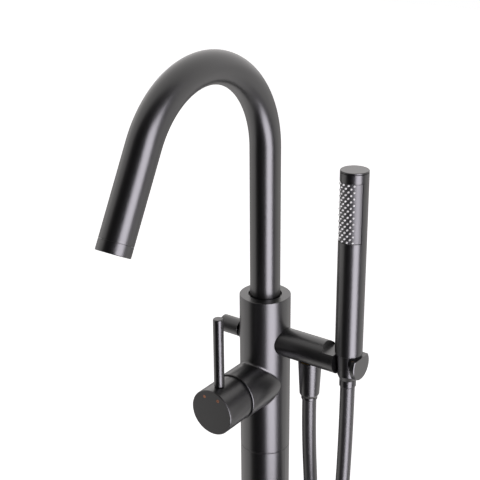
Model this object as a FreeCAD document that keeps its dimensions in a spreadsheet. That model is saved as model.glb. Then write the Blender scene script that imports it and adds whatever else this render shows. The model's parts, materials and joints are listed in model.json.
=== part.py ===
"""Floor standing bath filler with a hand shower: every piece in its own node, in millimetres.

Frame: +Z up, origin on the floor under the column's axis, spout and mixer knob towards -Y,
hand shower arm towards +X.  All driving dimensions are plain numbers in the "Sizes" sheet.
"""
import FreeCAD
import Part
import math
import os
import Sketcher
from FreeCAD import Placement, Rotation, Vector

DIMENSIONS = {
    # Clearances and small edges shared by many pieces
    "seat_gap": 0.02,  # radial gap of pieces fitted into each other
    "running_gap": 0.05,  # radial gap of a shaft that turns or slides
    "moving_gap": 0.3,  # gap between faces that pass each other
    "edge_break": 0.5,  # chamfer on the outer edges
    # Column
    "collar_height": 850.0,  # floor to the collar's top face
    "mixer_length": 165.4,  # collar's top face down to the seam
    "mixer_diameter": 50.0,
    "column_diameter": 49.8,
    "column_wall": 1.9,
    "joiner_ring": 1.2,  # visible ring between mixer body and column
    "joiner_inset": 0.4,  # how far that ring lies inside the column's surface
    "joiner_depth": 25.0,  # sleeve length in the mixer body and in the column
    "joiner_bore": 40.0,
    # Floor fixing
    "flange_diameter": 104.0,
    "flange_thickness": 8.0,
    "spigot_height": 32.0,  # spigot above the flange that carries the column
    "anchor_circle": 78.0,
    "anchor_hole": 8.5,
    "base_screw_diameter": 5.0,
    "base_screw_length": 6.0,
    "base_screw_height": 6.0,  # above the flange's top face
    "base_screw_inset": 0.2,  # outer end inside the column's surface
    "cover_diameter": 120.0,
    "cover_height": 20.0,
    "cover_wall": 1.6,
    "cover_bevel": 2.0,
    "cover_gap": 0.3,  # radial gap between the cover and the column
    "cover_ring": 1.0,  # cord radius of the ring under the cover
    # Supply
    "supply_spacing": 19.0,  # hot to cold pipe axis
    "supply_diameter": 12.0,
    "supply_wall": 1.0,
    "supply_socket": 11.0,  # depth of the pipe's seat in the mixer body
    "supply_end_gap": 0.1,  # pipe's top end below the floor of that seat
    "pipe_seat_web": 1.0,  # solid between the joiner's seat and the pipe seats
    "inlet_diameter": 17.4,
    "inlet_thread": 14.95,
    "inlet_thread_depth": 12.0,
    "inlet_web": 6.0,  # solid length between thread and pipe seat
    "inlet_seat_depth": 8.0,
    "inlet_lift": 1.0,  # union's mouth above the floor
    "port_diameter": 8.0,  # drilled waterways
    "spout_port_diameter": 16.0,
    # Mixer housing and cartridge, distances measured forward from the column's axis
    "knob_drop": 90.5,  # collar's top face to the knob's axis
    "housing_diameter": 47.8,
    "housing_gap": 5.0,  # housing's rim behind the tilt pivot
    "housing_mouth": 45.5,
    "supply_port_share": 0.3,  # ports end this share of the cartridge below its axis
    "cartridge_diameter": 35.0,
    "cartridge_behind": 8.0,  # cartridge's back face behind the column's axis
    "cartridge_shoulder": 30.0,
    "cartridge_cavity": 26.0,
    "cartridge_cavity_depth": 18.0,
    "cartridge_base_thickness": 4.0,
    "cartridge_base_diameter": 30.0,
    "cartridge_nose_diameter": 22.8,
    "cartridge_nose_length": 6.0,
    "cartridge_port": 5.0,
    "cartridge_port_circle": 16.0,
    "first_port_angle": -30.0,
    "port_ring": 0.75,  # cord radius of the cartridge's rings
    "nut_diameter": 38.0,
    "nut_thickness": 6.5,
    "nut_run_out": 1.0,  # thread run-out in front of the nut
    "nut_notch_diameter": 4.0,
    "disc_thickness": 4.5,
    "control_disc_diameter": 21.5,
    "stem_diameter": 12.0,
    "carrier_disc_thickness": 6.0,
    "carrier_collar_diameter": 18.0,
    "carrier_collar_thickness": 1.4,
    "fork_height": 12.0,
    "fork_width": 16.6,
    "fork_overrun": 3.8,  # fork's tip in front of the tilt pivot
    # Knob and lever
    "knob_diameter": 45.6,
    "knob_reach": 88.2,
    "pivot_reach": 58.2,
    "knob_skirt": 15.2,  # rounded skirt behind the pivot
    "knob_skirt_bore": 31.0,
    "knob_bore": 38.0,
    "knob_face_thickness": 4.0,
    "knob_bevel": 0.6,
    "boss_diameter": 16.0,
    "boss_length": 14.5,
    "spindle_diameter": 8.0,
    "spindle_tail": 7.2,
    "spindle_chamfer": 1.5,
    "spindle_end_gap": 0.5,
    "spindle_pin_diameter": 4.0,
    "lever_diameter": 9.9,
    "lever_reach": 75.3,
    "lever_height": 92.6,  # knob's axis to the lever's top
    "lever_neck": 7.0,
    "lever_neck_overrun": 1.5,  # neck's end inside the knob's bore
    "lever_relief": 0.4,  # gap between the knob's crown and the lever's foot
    "lever_bevel": 0.7,
    "knob_screw_diameter": 4.0,
    "knob_screw_length": 4.6,
    "screw_end_gap": 0.1,  # set screw's end off the piece that it holds
    "screw_socket_share": 0.28,  # hexagon socket's corner radius over the screw's diameter
    "screw_socket_start": 0.55,  # socket's floor as a share of the screw's length
    "mark_circle": 33.4,
    "mark_angle": 28.0,
    "mark_diameter": 3.0,
    "mark_ring_bore": 1.5,
    "mark_depth": 0.3,
    # Spout
    "spout_diameter": 29.3,
    "spout_wall": 2.5,
    "spout_rise": 147.0,  # straight leg above the collar
    "spout_radius": 88.3,
    "spout_bend_angle": 152.1,
    "spout_leg": 88.9,  # straight leg after the bend, aerator included
    "spout_socket": 32.8,
    "spout_socket_depth": 27.0,
    "spout_floor_gap": 1.0,
    "bush_depth": 3.0,  # bush's top face below the collar
    "bush_length": 11.0,
    "seal_length": 2.6,
    "swivel_angle": 180.0,  # whole swivel from stop to stop
    "swivel_groove_depth": 1.2,
    "swivel_groove_width": 5.2,
    "swivel_screw_diameter": 5.0,
    "swivel_screw_depth": 20.6,  # below the collar
    "swivel_screw_inset": 0.6,  # outer end inside the body's surface
    "aerator_length": 9.6,
    "aerator_seam": 0.4,
    "aerator_spigot": 8.0,
    "aerator_bore": 21.0,
    "aerator_lip": 1.0,
    "insert_length": 7.0,
    "insert_hole": 2.4,
    "insert_pitch": 3.4,
    "insert_margin": 2.5,  # hole centres inside the insert's edge
    "gasket_length": 1.5,
    "gasket_width": 3.0,
    # Diverter, distances measured from the column's axis towards -X
    "arm_drop": 45.6,  # collar's top face to the arm's and the diverter's axis
    "cross_bore": 22.0,
    "bonnet_start": 12.0,
    "bonnet_shoulder": 24.4,
    "bonnet_neck": 13.0,
    "bonnet_reach": 26.6,
    "diverter_stem_diameter": 6.0,
    "diverter_travel": 9.0,
    "diverter_land": 20.0,
    "diverter_land_length": 5.0,
    "diverter_groove_share": 0.3,  # lip beside the ring's groove over the land's length
    "diverter_groove_depth": 1.5,
    "diverter_diameter": 17.5,
    "diverter_start": 28.4,
    "diverter_reach": 52.0,
    "diverter_bevel": 1.5,
    "diverter_cover": 8.0,  # solid end of the knob in front of its stem
    "diverter_screw_diameter": 3.0,
    "diverter_screw_length": 4.0,
    # Arm with the hand shower's cradle
    "arm_diameter": 28.6,
    "arm_reach": 109.2,
    "arm_root_depth": 6.0,  # how far the arm's saddle wraps the body
    "arm_spigot_start": 9.0,
    "arm_bevel": 0.6,
    "notch_radius": 24.5,  # round pocket about the hand shower's axis
    "notch_height": 7.9,
    "cradle_slot": 19.6,
    "waterway": 11.0,
    "outlet_reach": 52.7,
    "outlet_seat": 10.8,  # spot face below the arm's axis
    "outlet_thread": 20.0,
    "outlet_thread_length": 10.0,
    "outlet_tail": 15.0,
    "outlet_tail_length": 7.0,
    "check_valve_length": 12.0,
    "check_valve_wall": 1.98,
    "check_valve_inset": 0.5,
    "arm_ring": 0.9,
    # Hose ends
    "nut_top_diameter": 23.0,
    "nut_foot_diameter": 19.4,
    "nut_length": 35.7,
    "nut_bevel": 2.9,
    "nut_bore": 10.4,
    "nut_thread_depth": 12.0,
    "ferrule_diameter": 15.9,
    "ferrule_length": 3.4,
    "ferrule_bevel": 0.6,
    "washer_length": 1.5,
    "washer_bore": 12.0,
    "cone_top_diameter": 22.4,
    "cone_length": 21.9,
    "cone_foot_diameter": 20.1,
    "cone_bevel": 5.0,
    "cone_ferrule_length": 7.5,
    "hose_diameter": 14.0,
    # Hand shower, heights measured from its lower rim
    "cradle_inset": 14.2,  # hand shower's axis inside the arm's end
    "handset_lift": 9.6,  # lower rim above the arm's axis
    "handset_length": 178.6,
    "handset_diameter": 26.0,
    "handset_bore": 22.0,
    "cap_thickness": 1.5,
    "cap_seam": 0.4,
    "cap_plug": 4.0,
    "panel_top": 10.0,  # below the hand shower's top
    "panel_length": 55.8,
    "panel_angle": 146.0,
    "panel_offset_angle": 4.5,  # panel's middle turned from -Y towards -X
    "window_overlap": 1.0,  # window cut past both faces of the barrel's wall
    "panel_recess": 0.5,
    "panel_thickness": 1.0,
    "panel_gap": 0.5,
    "pad_thickness": 1.3,
    "nub_columns": 7,
    "nub_rows": 10,  # in the first column, and one fewer in every second one
    "nub_pitch": 5.85,
    "nub_column_angle": 11.7,
    "nub_diameter": 1.9,
    "nub_height": 1.2,
    "inlet_plug_length": 14.0,
    "inlet_thread_length": 11.0,
    "inlet_plug_bore": 9.0,
    "water_tube_diameter": 12.0,
    "water_tube_seat": 6.0,
    "bulkhead_thickness": 5.0,
    "bulkhead_gap": 3.0,  # bulkhead's top below the panel
}

# The hose hangs free between its two ferrules: middle line below the outlet, round the low
# bend and up to the hand shower, in millimetres above the floor.
HOSE_DOWN = [(52.7, 0.0, 711.0), (52.7, 6.5, 640.0), (50.5, 20.0, 500.0), (47.5, 37.0, 380.0),
             (43.5, 57.0, 260.0), (41.0, 69.0, 172.0)]
HOSE_BEND = [(41.5, 69.5, 115.0), (53.0, 43.0, 74.0), (72.0, -1.5, 58.0), (92.0, -46.0, 74.0),
             (103.5, -73.0, 115.0)]
HOSE_UP = [(104.0, -74.0, 170.0), (102.0, -67.0, 260.0), (99.5, -53.0, 380.0), (97.0, -32.0, 500.0),
           (95.2, -10.0, 600.0), (95.0, 0.0, 712.0)]

# Straight part of each run that a corner's arc takes up, and how far a cutting tool passes a face
HOSE_ROUNDING = 0.45
PAST = 1.0

UP = Rotation()
DOWN = Rotation(Vector(1, 0, 0), 180)
FRONT = Rotation(Vector(1, 0, 0), 90)  # local +Z to -Y, local +Y to +Z
BACK = Rotation(Vector(1, 0, 0), -90)
RIGHT = Rotation(Vector(0, 1, 0), 90)  # local +Z to +X
LEFT = Rotation(Vector(0, 1, 0), -90)  # local +Z to -X, local +X to +Z

doc = FreeCAD.newDocument("bath_filler")
sheet = doc.addObject("Spreadsheet::Sheet", "Sizes")
nodes = []


class Size:
    """A length or an angle written as an expression over the cells of the sheet."""

    def __init__(self, text):
        self.text = text

    def __float__(self):
        return float(sheet.evalExpression(self.text))

    def __add__(self, other):
        return Size(f"({self.text} + {written(other)})")

    def __sub__(self, other):
        return Size(f"({self.text} - {written(other)})")

    def __rsub__(self, other):
        return Size(f"({written(other)} - {self.text})")

    def __mul__(self, other):
        return Size(f"({self.text} * {written(other)})")

    def __truediv__(self, other):
        return Size(f"({self.text} / {written(other)})")

    def __neg__(self):
        return Size(f"(0 - {self.text})")

    __radd__ = __add__
    __rmul__ = __mul__


def written(value):
    """The expression text of a size or of a plain number."""
    return value.text if isinstance(value, Size) else repr(float(value))


def applied(function, value):
    """A size passed through a sheet function such as sin, cos or sqrt."""
    return Size(f"{function}({written(value)})")


def angle_of(tangent):
    """The angle in plain degrees whose tangent is given."""
    return Size(f"(atan({written(tangent)}) / 1 deg)")


class Dimensions:
    """The driving dimensions by name, each as a size bound to its cell."""

    def __init__(self, values):
        for row, (name, value) in enumerate(values.items(), start=1):
            sheet.set(f"A{row}", name)
            sheet.set(f"B{row}", str(value))
            sheet.setAlias(f"B{row}", name)
            setattr(self, name, Size(f"Sizes.{name}"))
        doc.recompute()


dim = Dimensions(DIMENSIONS)


def bind(thing, name, value):
    """Set a property, and tie it to the sheet when the value is a size."""
    if isinstance(value, Size):
        thing.setExpression(name, value.text)
    else:
        setattr(thing, name, value)


def place(thing, x=0.0, y=0.0, z=0.0, turn=UP):
    """Put a piece with its local origin at x, y, z and its axes turned."""
    thing.Placement = Placement(Vector(float(x), float(y), float(z)), turn)
    for axis, value in zip("xyz", (x, y, z)):
        if isinstance(value, Size):
            thing.setExpression(f"Placement.Base.{axis}", value.text)
    return thing


def node(thing, name):
    """Name a finished piece and put it on the list of pieces."""
    thing.Label = name
    nodes.append(thing)
    return thing


def sketch_on(body, role, name):
    """An empty sketch on one of the body's own origin planes."""
    sketch = body.newObject("Sketcher::SketchObject", name)
    plane = next(part for part in body.Origin.OriginFeatures if part.Role == role)
    sketch.AttachmentSupport = [(plane, "")]
    sketch.MapMode = "FlatFace"
    return sketch


def pin_across(sketch, edge, end, value, kind="DistanceX", axis=-2):
    """Fix one end of a sketch edge at a distance from one of the sketch's axes."""
    if not isinstance(value, Size) and value == 0:
        sketch.addConstraint(Sketcher.Constraint("PointOnObject", edge, end, axis))
        return
    index = sketch.addConstraint(Sketcher.Constraint(kind, -1, 1, edge, end, float(value)))
    if isinstance(value, Size):
        sketch.setExpression(f"Constraints[{index}]", value.text)


def pin_down(sketch, edge, end, across, along):
    """Fix one end of a sketch edge at a distance across and along from the sketch's origin."""
    pin_across(sketch, edge, end, across)
    pin_across(sketch, edge, end, along, "DistanceY", -1)


def arc_between(start, end, centre):
    """The shorter arc from start to end about a centre, with its ends in that order."""
    radius = (start - centre).Length
    middle = centre + ((start + end) / 2 - centre).normalize() * radius
    return Part.Arc(start, middle, end)


def draw(sketch, outline, closed=True):
    """Draw an outline of (across, along) corners with every corner fixed by the sheet.

    A third entry, (across, along) of a centre, makes the edge that leaves the corner an arc.
    """
    corners = [Vector(float(item[0]), float(item[1]), 0) for item in outline]
    count = len(outline)
    heads, tails = [], []
    for index in range(count if closed else count - 1):
        item, start, end = outline[index], corners[index], corners[(index + 1) % count]
        if len(item) == 2:
            sketch.addGeometry(Part.LineSegment(start, end), False)
            head, tail = 1, 2
        else:
            across = item[2][0]
            centre = Vector(float(across), float(item[2][1]), 0)
            anticlockwise = (start - centre).cross(end - centre).z > 0
            if anticlockwise:
                sketch.addGeometry(arc_between(start, end, centre), False)
                head, tail = 1, 2
            else:
                sketch.addGeometry(arc_between(end, start, centre), False)
                head, tail = 2, 1
            pin_across(sketch, index, 3, across)
        pin_down(sketch, index, head, item[0], item[1])
        heads.append(head)
        tails.append(tail)
    for index in range(1, len(heads)):
        sketch.addConstraint(
            Sketcher.Constraint("Coincident", index - 1, tails[index - 1], index, heads[index]))
    if closed:
        sketch.addConstraint(Sketcher.Constraint("Coincident", count - 1, tails[-1], 0, heads[0]))
    else:
        pin_down(sketch, count - 2, tails[-1], outline[-1][0], outline[-1][1])


def turned(name, outline):
    """A lathe-turned piece: an outline of (radius, height) turned about its local Z axis."""
    body = doc.addObject("PartDesign::Body", name)
    sketch = sketch_on(body, "XZ_Plane", name + "_outline")
    draw(sketch, outline)
    turn = body.newObject("PartDesign::Revolution", name + "_turn")
    turn.Profile = sketch
    turn.ReferenceAxis = (sketch, ["V_Axis"])
    turn.Angle = 360
    return body


def sleeve(name, bore_radius, outer_radius, low, high):
    """A plain ring or tube between two heights."""
    return turned(name, [(bore_radius, low), (outer_radius, low), (outer_radius, high),
                         (bore_radius, high)])


def rod(name, radius, length, x=0.0, y=0.0, z=0.0, turn=UP):
    """A plain cylinder from x, y, z along its turned axis."""
    cylinder = doc.addObject("Part::Cylinder", name)
    bind(cylinder, "Radius", radius)
    bind(cylinder, "Height", length)
    return place(cylinder, x, y, z, turn)


def block(name, length, width, height, x, y, z):
    """A plain box with its low corner at x, y, z."""
    box = doc.addObject("Part::Box", name)
    bind(box, "Length", length)
    bind(box, "Width", width)
    bind(box, "Height", height)
    return place(box, x, y, z)


def ring(name, ring_radius, cord_radius):
    """A round sealing ring about its local Z axis."""
    torus = doc.addObject("Part::Torus", name)
    bind(torus, "Radius1", ring_radius)
    bind(torus, "Radius2", cord_radius)
    return torus


def sector(name, inner_radius, outer_radius, angle, low, height, turn):
    """A part of a tube wall that spans an angle about Z, from a turned start."""
    shells = []
    for radius, suffix in ((outer_radius, "outer"), (inner_radius, "inner")):
        wedge = doc.addObject("Part::Cylinder", f"{name}_{suffix}")
        bind(wedge, "Radius", radius)
        bind(wedge, "Height", height)
        bind(wedge, "Angle", angle)
        place(wedge, z=low)
        shells.append(wedge)
    piece = cut(name, shells[0], [shells[1]])
    piece.Placement = Placement(Vector(), Rotation(Vector(0, 0, 1), float(turn)))
    piece.setExpression("Placement.Rotation.Angle", turn.text)
    return piece


def fuse(name, pieces):
    """One solid made of several."""
    union = doc.addObject("Part::MultiFuse", name)
    union.Shapes = pieces
    return union


def group(name, pieces):
    """Identical loose pieces that share a node."""
    compound = doc.addObject("Part::Compound", name)
    compound.Links = pieces
    return compound


def cut(name, base, tools):
    """A base with one or more tools taken away."""
    result = doc.addObject("Part::Cut", name)
    result.Base = base
    result.Tool = tools[0] if len(tools) == 1 else fuse(name + "_tools", tools)
    return result


def socket_screw(name, diameter, length, turn, x=0.0, y=0.0, z=0.0):
    """A headless screw with a hexagon socket in its outer end, along its turned axis."""
    shank = rod(name + "_shank", diameter / 2, length)
    socket = doc.addObject("Part::Prism", name + "_socket")
    socket.Polygon = 6
    bind(socket, "Circumradius", diameter * dim.screw_socket_share)
    bind(socket, "Height", length / 2)
    place(socket, z=length * dim.screw_socket_start)
    return place(cut(name, shank, [socket]), x, y, z, turn)


def around(angle, turn=UP):
    """A turn about the vertical axis after another turn."""
    return Rotation(Vector(0, 0, 1), angle).multiply(turn)


# Heights and radii that several pieces share
seam_height = dim.collar_height - dim.mixer_length
column_top = seam_height - dim.joiner_ring
column_bore_radius = dim.column_diameter / 2 - dim.column_wall
knob_height = dim.collar_height - dim.knob_drop
arm_height = dim.collar_height - dim.arm_drop
knob_level = dim.mixer_length - dim.knob_drop  # above the seam
arm_level = dim.mixer_length - dim.arm_drop
pipe_seat_level = dim.joiner_depth + dim.pipe_seat_web
inlet_pipe_level = dim.inlet_lift + dim.inlet_thread_depth + dim.inlet_web
inlet_radius = dim.inlet_diameter / 2
cross_radius = dim.cross_bore / 2
handset_reach = dim.arm_reach - dim.cradle_inset
handset_rim_height = arm_height + dim.handset_lift


def base():
    """Floor flange with its spigot, the loose cover over it, and the set screws."""
    flange_edge = dim.flange_diameter / 2
    spigot_radius = column_bore_radius - dim.seat_gap
    spigot_top = dim.flange_thickness + dim.spigot_height
    blank = turned("floor_flange_blank", [
        (0, 0), (flange_edge, 0), (flange_edge, dim.flange_thickness - dim.edge_break),
        (flange_edge - dim.edge_break, dim.flange_thickness), (spigot_radius, dim.flange_thickness),
        (spigot_radius, spigot_top), (0, spigot_top)])
    tools = []
    for side in (-1, 1):
        tools.append(rod(f"supply_hole_{side}", inlet_radius + dim.seat_gap, spigot_top + 2 * PAST,
                         x=dim.supply_spacing * (side / 2), z=-PAST))
    for quarter in range(4):
        angle = 45.0 + 90.0 * quarter
        tools.append(rod(f"anchor_hole_{quarter}", dim.anchor_hole / 2, dim.flange_thickness + 2 * PAST,
                         x=dim.anchor_circle / 2 * math.cos(math.radians(angle)),
                         y=dim.anchor_circle / 2 * math.sin(math.radians(angle)), z=-PAST))
    screw_level = dim.flange_thickness + dim.base_screw_height
    screw_start = dim.column_diameter / 2 - dim.base_screw_inset - dim.base_screw_length
    screws, column_holes = [], []
    for third in range(3):
        angle = 90.0 + 120.0 * third
        across, along = math.cos(math.radians(angle)), math.sin(math.radians(angle))
        spot = (screw_start * across, screw_start * along)
        tools.append(rod(f"screw_hole_{third}", dim.base_screw_diameter / 2 + dim.seat_gap,
                         dim.column_diameter, *spot, screw_level, around(angle, RIGHT)))
        column_holes.append(rod(f"column_hole_{third}", dim.base_screw_diameter / 2 + dim.seat_gap,
                                dim.column_diameter, *spot, screw_level - dim.flange_thickness,
                                around(angle, RIGHT)))
        screws.append(socket_screw(f"base_screw_{third}", dim.base_screw_diameter,
                                   dim.base_screw_length, around(angle, RIGHT), *spot, screw_level))
    node(cut("floor_flange_piece", blank, tools), "floor_flange")
    node(group("base_screws", screws), "base_set_screws")

    cover_edge = dim.cover_diameter / 2
    hole = dim.column_diameter / 2 + dim.cover_gap
    node(turned("cover", [
        (cover_edge - dim.cover_wall, 0), (cover_edge, 0),
        (cover_edge, dim.cover_height - dim.cover_bevel),
        (cover_edge - dim.cover_bevel, dim.cover_height), (hole, dim.cover_height),
        (hole, dim.cover_height - dim.cover_wall),
        (cover_edge - dim.cover_wall, dim.cover_height - dim.cover_wall)]), "base_cover")
    cover_ring = ring("cover_ring", dim.column_diameter / 2 + dim.cover_ring, dim.cover_ring)
    place(cover_ring, z=dim.cover_height - dim.cover_wall - dim.cover_ring)
    node(cover_ring, "cover_seal_ring")

    column_length = column_top - dim.flange_thickness
    edge = dim.column_diameter / 2
    tube = turned("column_tube", [
        (column_bore_radius, 0), (edge, 0), (edge, column_length - dim.edge_break),
        (edge - dim.edge_break, column_length), (column_bore_radius, column_length)])
    node(place(cut("column", tube, column_holes), z=dim.flange_thickness), "standpipe")

    sleeve_radius = column_bore_radius - dim.seat_gap
    ring_edge = edge - dim.joiner_inset
    ring_top = dim.joiner_depth + dim.joiner_ring
    joiner = turned("joiner", [
        (dim.joiner_bore / 2, 0), (sleeve_radius, 0), (sleeve_radius, dim.joiner_depth),
        (ring_edge, dim.joiner_depth), (ring_edge, ring_top), (sleeve_radius, ring_top),
        (sleeve_radius, ring_top + dim.joiner_depth), (dim.joiner_bore / 2, ring_top + dim.joiner_depth)])
    node(place(joiner, z=column_top - dim.joiner_depth), "column_joiner")


def supplies():
    """Hot and cold unions in the flange and the pipes that rise inside the column."""
    pipe_radius = dim.supply_diameter / 2
    pipe_top = seam_height + pipe_seat_level + dim.supply_socket - dim.supply_end_gap
    pipe_length = pipe_top - inlet_pipe_level
    seat = pipe_radius + dim.seat_gap
    web = dim.inlet_thread_depth + dim.inlet_web
    top = web + dim.inlet_seat_depth
    for side, name in ((-1, "hot"), (1, "cold")):
        across = dim.supply_spacing * (side / 2)
        union = turned(f"{name}_union", [
            (dim.inlet_thread / 2, 0), (inlet_radius, 0), (inlet_radius, top), (seat, top), (seat, web),
            (pipe_radius - dim.supply_wall, web), (pipe_radius - dim.supply_wall, dim.inlet_thread_depth),
            (dim.inlet_thread / 2, dim.inlet_thread_depth)])
        node(place(union, x=across, z=dim.inlet_lift), f"{name}_inlet_union")
        pipe = sleeve(f"{name}_pipe", pipe_radius - dim.supply_wall, pipe_radius, 0, pipe_length)
        node(place(pipe, x=across, z=inlet_pipe_level), f"{name}_supply_pipe")


def mixer_body():
    """The cast body: joiner seat, waterways, cartridge chamber, cross bore and spout socket."""
    edge = dim.mixer_diameter / 2
    joiner_seat = column_bore_radius
    socket_floor = dim.mixer_length - dim.spout_socket_depth
    barrel = turned("mixer_barrel", [
        (joiner_seat, 0), (edge - dim.edge_break, 0), (edge, dim.edge_break),
        (edge, dim.mixer_length - dim.edge_break), (edge - dim.edge_break, dim.mixer_length),
        (dim.spout_socket / 2, dim.mixer_length), (dim.spout_socket / 2, socket_floor), (0, socket_floor),
        (0, pipe_seat_level), (joiner_seat, pipe_seat_level)])
    housing_edge = dim.housing_diameter / 2
    housing_reach = dim.pivot_reach - dim.housing_gap
    housing = turned("mixer_housing", [
        (0, 0), (housing_edge, 0), (housing_edge, housing_reach - dim.edge_break),
        (housing_edge - dim.edge_break, housing_reach), (0, housing_reach)])
    place(housing, z=knob_level, turn=FRONT)
    chamber_back = dim.cartridge_behind + dim.port_ring * 2
    chamber_radius = dim.cartridge_diameter / 2 + dim.running_gap
    nut_radius = dim.nut_diameter / 2 + dim.running_gap
    shoulder = chamber_back + dim.cartridge_shoulder
    mouth_floor = shoulder + dim.nut_thickness + dim.nut_run_out
    mouth_end = chamber_back + housing_reach + PAST
    chamber = turned("cartridge_chamber", [
        (0, 0), (chamber_radius, 0), (chamber_radius, shoulder), (nut_radius, shoulder),
        (nut_radius, mouth_floor), (dim.housing_mouth / 2, mouth_floor),
        (dim.housing_mouth / 2, mouth_end), (0, mouth_end)])
    place(chamber, y=chamber_back, z=knob_level, turn=FRONT)
    tools = [chamber]
    for side in (-1, 1):
        across = dim.supply_spacing * (side / 2)
        tools.append(rod(f"pipe_seat_{side}", dim.supply_diameter / 2 + dim.seat_gap,
                         dim.supply_socket + PAST, across, 0, pipe_seat_level - PAST))
        port_top = knob_level - dim.cartridge_diameter * dim.supply_port_share
        tools.append(rod(f"supply_port_{side}", dim.port_diameter / 2, port_top - pipe_seat_level,
                         across, 0, pipe_seat_level))
    tools.append(rod("mixed_port", dim.port_diameter / 2, arm_level - knob_level, z=knob_level))
    tools.append(rod("cross_bore", cross_radius, dim.mixer_diameter + 2 * PAST,
                     x=-(dim.mixer_diameter / 2 + PAST), z=arm_level, turn=RIGHT))
    tools.append(rod("spout_port", dim.spout_port_diameter / 2, socket_floor - arm_level + PAST,
                     z=arm_level))
    tools.append(rod("swivel_screw_hole", dim.swivel_screw_diameter / 2 + dim.seat_gap, edge,
                     y=dim.spout_socket / 2 - PAST, z=dim.mixer_length - dim.swivel_screw_depth,
                     turn=BACK))
    body = cut("mixer_casting", fuse("mixer_blank", [barrel, housing]), tools)
    node(place(body, z=seam_height), "mixer_body")


def forward(piece):
    """Put a piece on the knob's axis, its local Z pointing forward from the column's axis."""
    return place(piece, z=knob_height, turn=FRONT)


def cartridge():
    """Mixing cartridge: shell, base with rings, ceramic discs, turning carrier and its nut."""
    outer = dim.cartridge_diameter / 2
    cavity = dim.cartridge_cavity / 2
    stem = dim.stem_diameter / 2
    back = -dim.cartridge_behind
    base_top = back + dim.cartridge_base_thickness
    cavity_top = base_top + dim.cartridge_cavity_depth
    nose = dim.cartridge_nose_diameter / 2
    nose_top = dim.cartridge_shoulder + dim.cartridge_nose_length
    shell = turned("cartridge_shell", [
        (dim.cartridge_base_diameter / 2 + dim.seat_gap, back), (outer, back),
        (outer, dim.cartridge_shoulder), (nose, dim.cartridge_shoulder), (nose, nose_top),
        (stem + dim.running_gap, nose_top), (stem + dim.running_gap, cavity_top), (cavity, cavity_top),
        (cavity, base_top), (dim.cartridge_base_diameter / 2 + dim.seat_gap, base_top)])
    node(forward(shell), "cartridge_shell")

    port_spots = []
    for port in range(3):
        angle = dim.first_port_angle + 120.0 * port
        port_spots.append((applied("cos", angle) * dim.cartridge_port_circle / 2,
                           applied("sin", angle) * dim.cartridge_port_circle / 2))

    def ported(name, blank, low, height):
        holes = []
        for port, (across, along) in enumerate(port_spots):
            holes.append(rod(f"{name}_port_{port}", dim.cartridge_port / 2, height + 2 * PAST,
                             across, along, low - PAST))
        return forward(cut(name, blank, holes))

    base_blank = rod("cartridge_base_blank", dim.cartridge_base_diameter / 2,
                     dim.cartridge_base_thickness, z=back)
    node(ported("cartridge_base_piece", base_blank, back, dim.cartridge_base_thickness), "cartridge_base")
    seat_blank = rod("seat_disc_blank", cavity - dim.seat_gap, dim.disc_thickness, z=base_top)
    node(ported("seat_disc", seat_blank, base_top, dim.disc_thickness), "ceramic_seat_disc")

    rings = []
    for port, (across, along) in enumerate(port_spots):
        seal = ring(f"port_ring_{port}", dim.cartridge_port / 2 + dim.port_ring, dim.port_ring)
        rings.append(place(seal, across, along, back - dim.port_ring))
    node(forward(group("port_rings", rings)), "cartridge_seal_rings")

    control_low = base_top + dim.disc_thickness + dim.seat_gap
    control_top = control_low + dim.disc_thickness
    control = rod("control_disc", dim.control_disc_diameter / 2, dim.disc_thickness, z=control_low)
    node(forward(group("control_disc_piece", [control])), "ceramic_control_disc")

    carrier_low = control_top
    carrier_top = carrier_low + dim.carrier_disc_thickness
    collar_low = nose_top + dim.moving_gap * 2
    collar_top = collar_low + dim.carrier_collar_thickness
    wide = cavity - dim.moving_gap * 4
    turned_carrier = turned("carrier_stem", [
        (0, carrier_low), (wide, carrier_low), (wide, carrier_top), (stem, carrier_top),
        (stem, collar_low), (dim.carrier_collar_diameter / 2, collar_low),
        (dim.carrier_collar_diameter / 2, collar_top), (0, collar_top)])
    fork_end = dim.pivot_reach + dim.fork_overrun
    ears = block("carrier_ears", dim.fork_width, dim.fork_height, fork_end - collar_low,
                 -dim.fork_width / 2, -dim.fork_height / 2, collar_low)
    slot_width = dim.spindle_diameter + dim.moving_gap * 2
    slot = block("carrier_slot", slot_width, dim.fork_height + 2 * PAST, dim.pivot_reach - collar_top,
                 -slot_width / 2, -dim.fork_height / 2 - PAST, collar_top + dim.fork_overrun)
    pin_hole = rod("carrier_pin_hole", dim.spindle_pin_diameter / 2 + dim.seat_gap,
                   dim.fork_width + 2 * PAST, -dim.fork_width / 2 - PAST, 0, dim.pivot_reach, RIGHT)
    carrier = cut("carrier", fuse("carrier_blank", [turned_carrier, ears]), [slot, pin_hole])
    node(forward(carrier), "spindle_carrier")
    pin = rod("pivot_pin", dim.spindle_pin_diameter / 2, dim.fork_width, -dim.fork_width / 2, 0,
              dim.pivot_reach, RIGHT)
    node(forward(group("pivot_pin_piece", [pin])), "spindle_pin")

    nut_bore = nose + dim.moving_gap
    nut = sleeve("nut_ring", nut_bore, dim.nut_diameter / 2, dim.cartridge_shoulder,
                 dim.cartridge_shoulder + dim.nut_thickness)
    notches = []
    for quarter in range(4):
        angle = math.radians(45.0 + 90.0 * quarter)
        notches.append(rod(f"nut_notch_{quarter}", dim.nut_notch_diameter / 2, dim.nut_thickness,
                           dim.nut_diameter / 2 * math.cos(angle), dim.nut_diameter / 2 * math.sin(angle),
                           dim.cartridge_shoulder + dim.nut_thickness / 2))
    node(forward(cut("nut", nut, notches)), "cartridge_nut")


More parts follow.
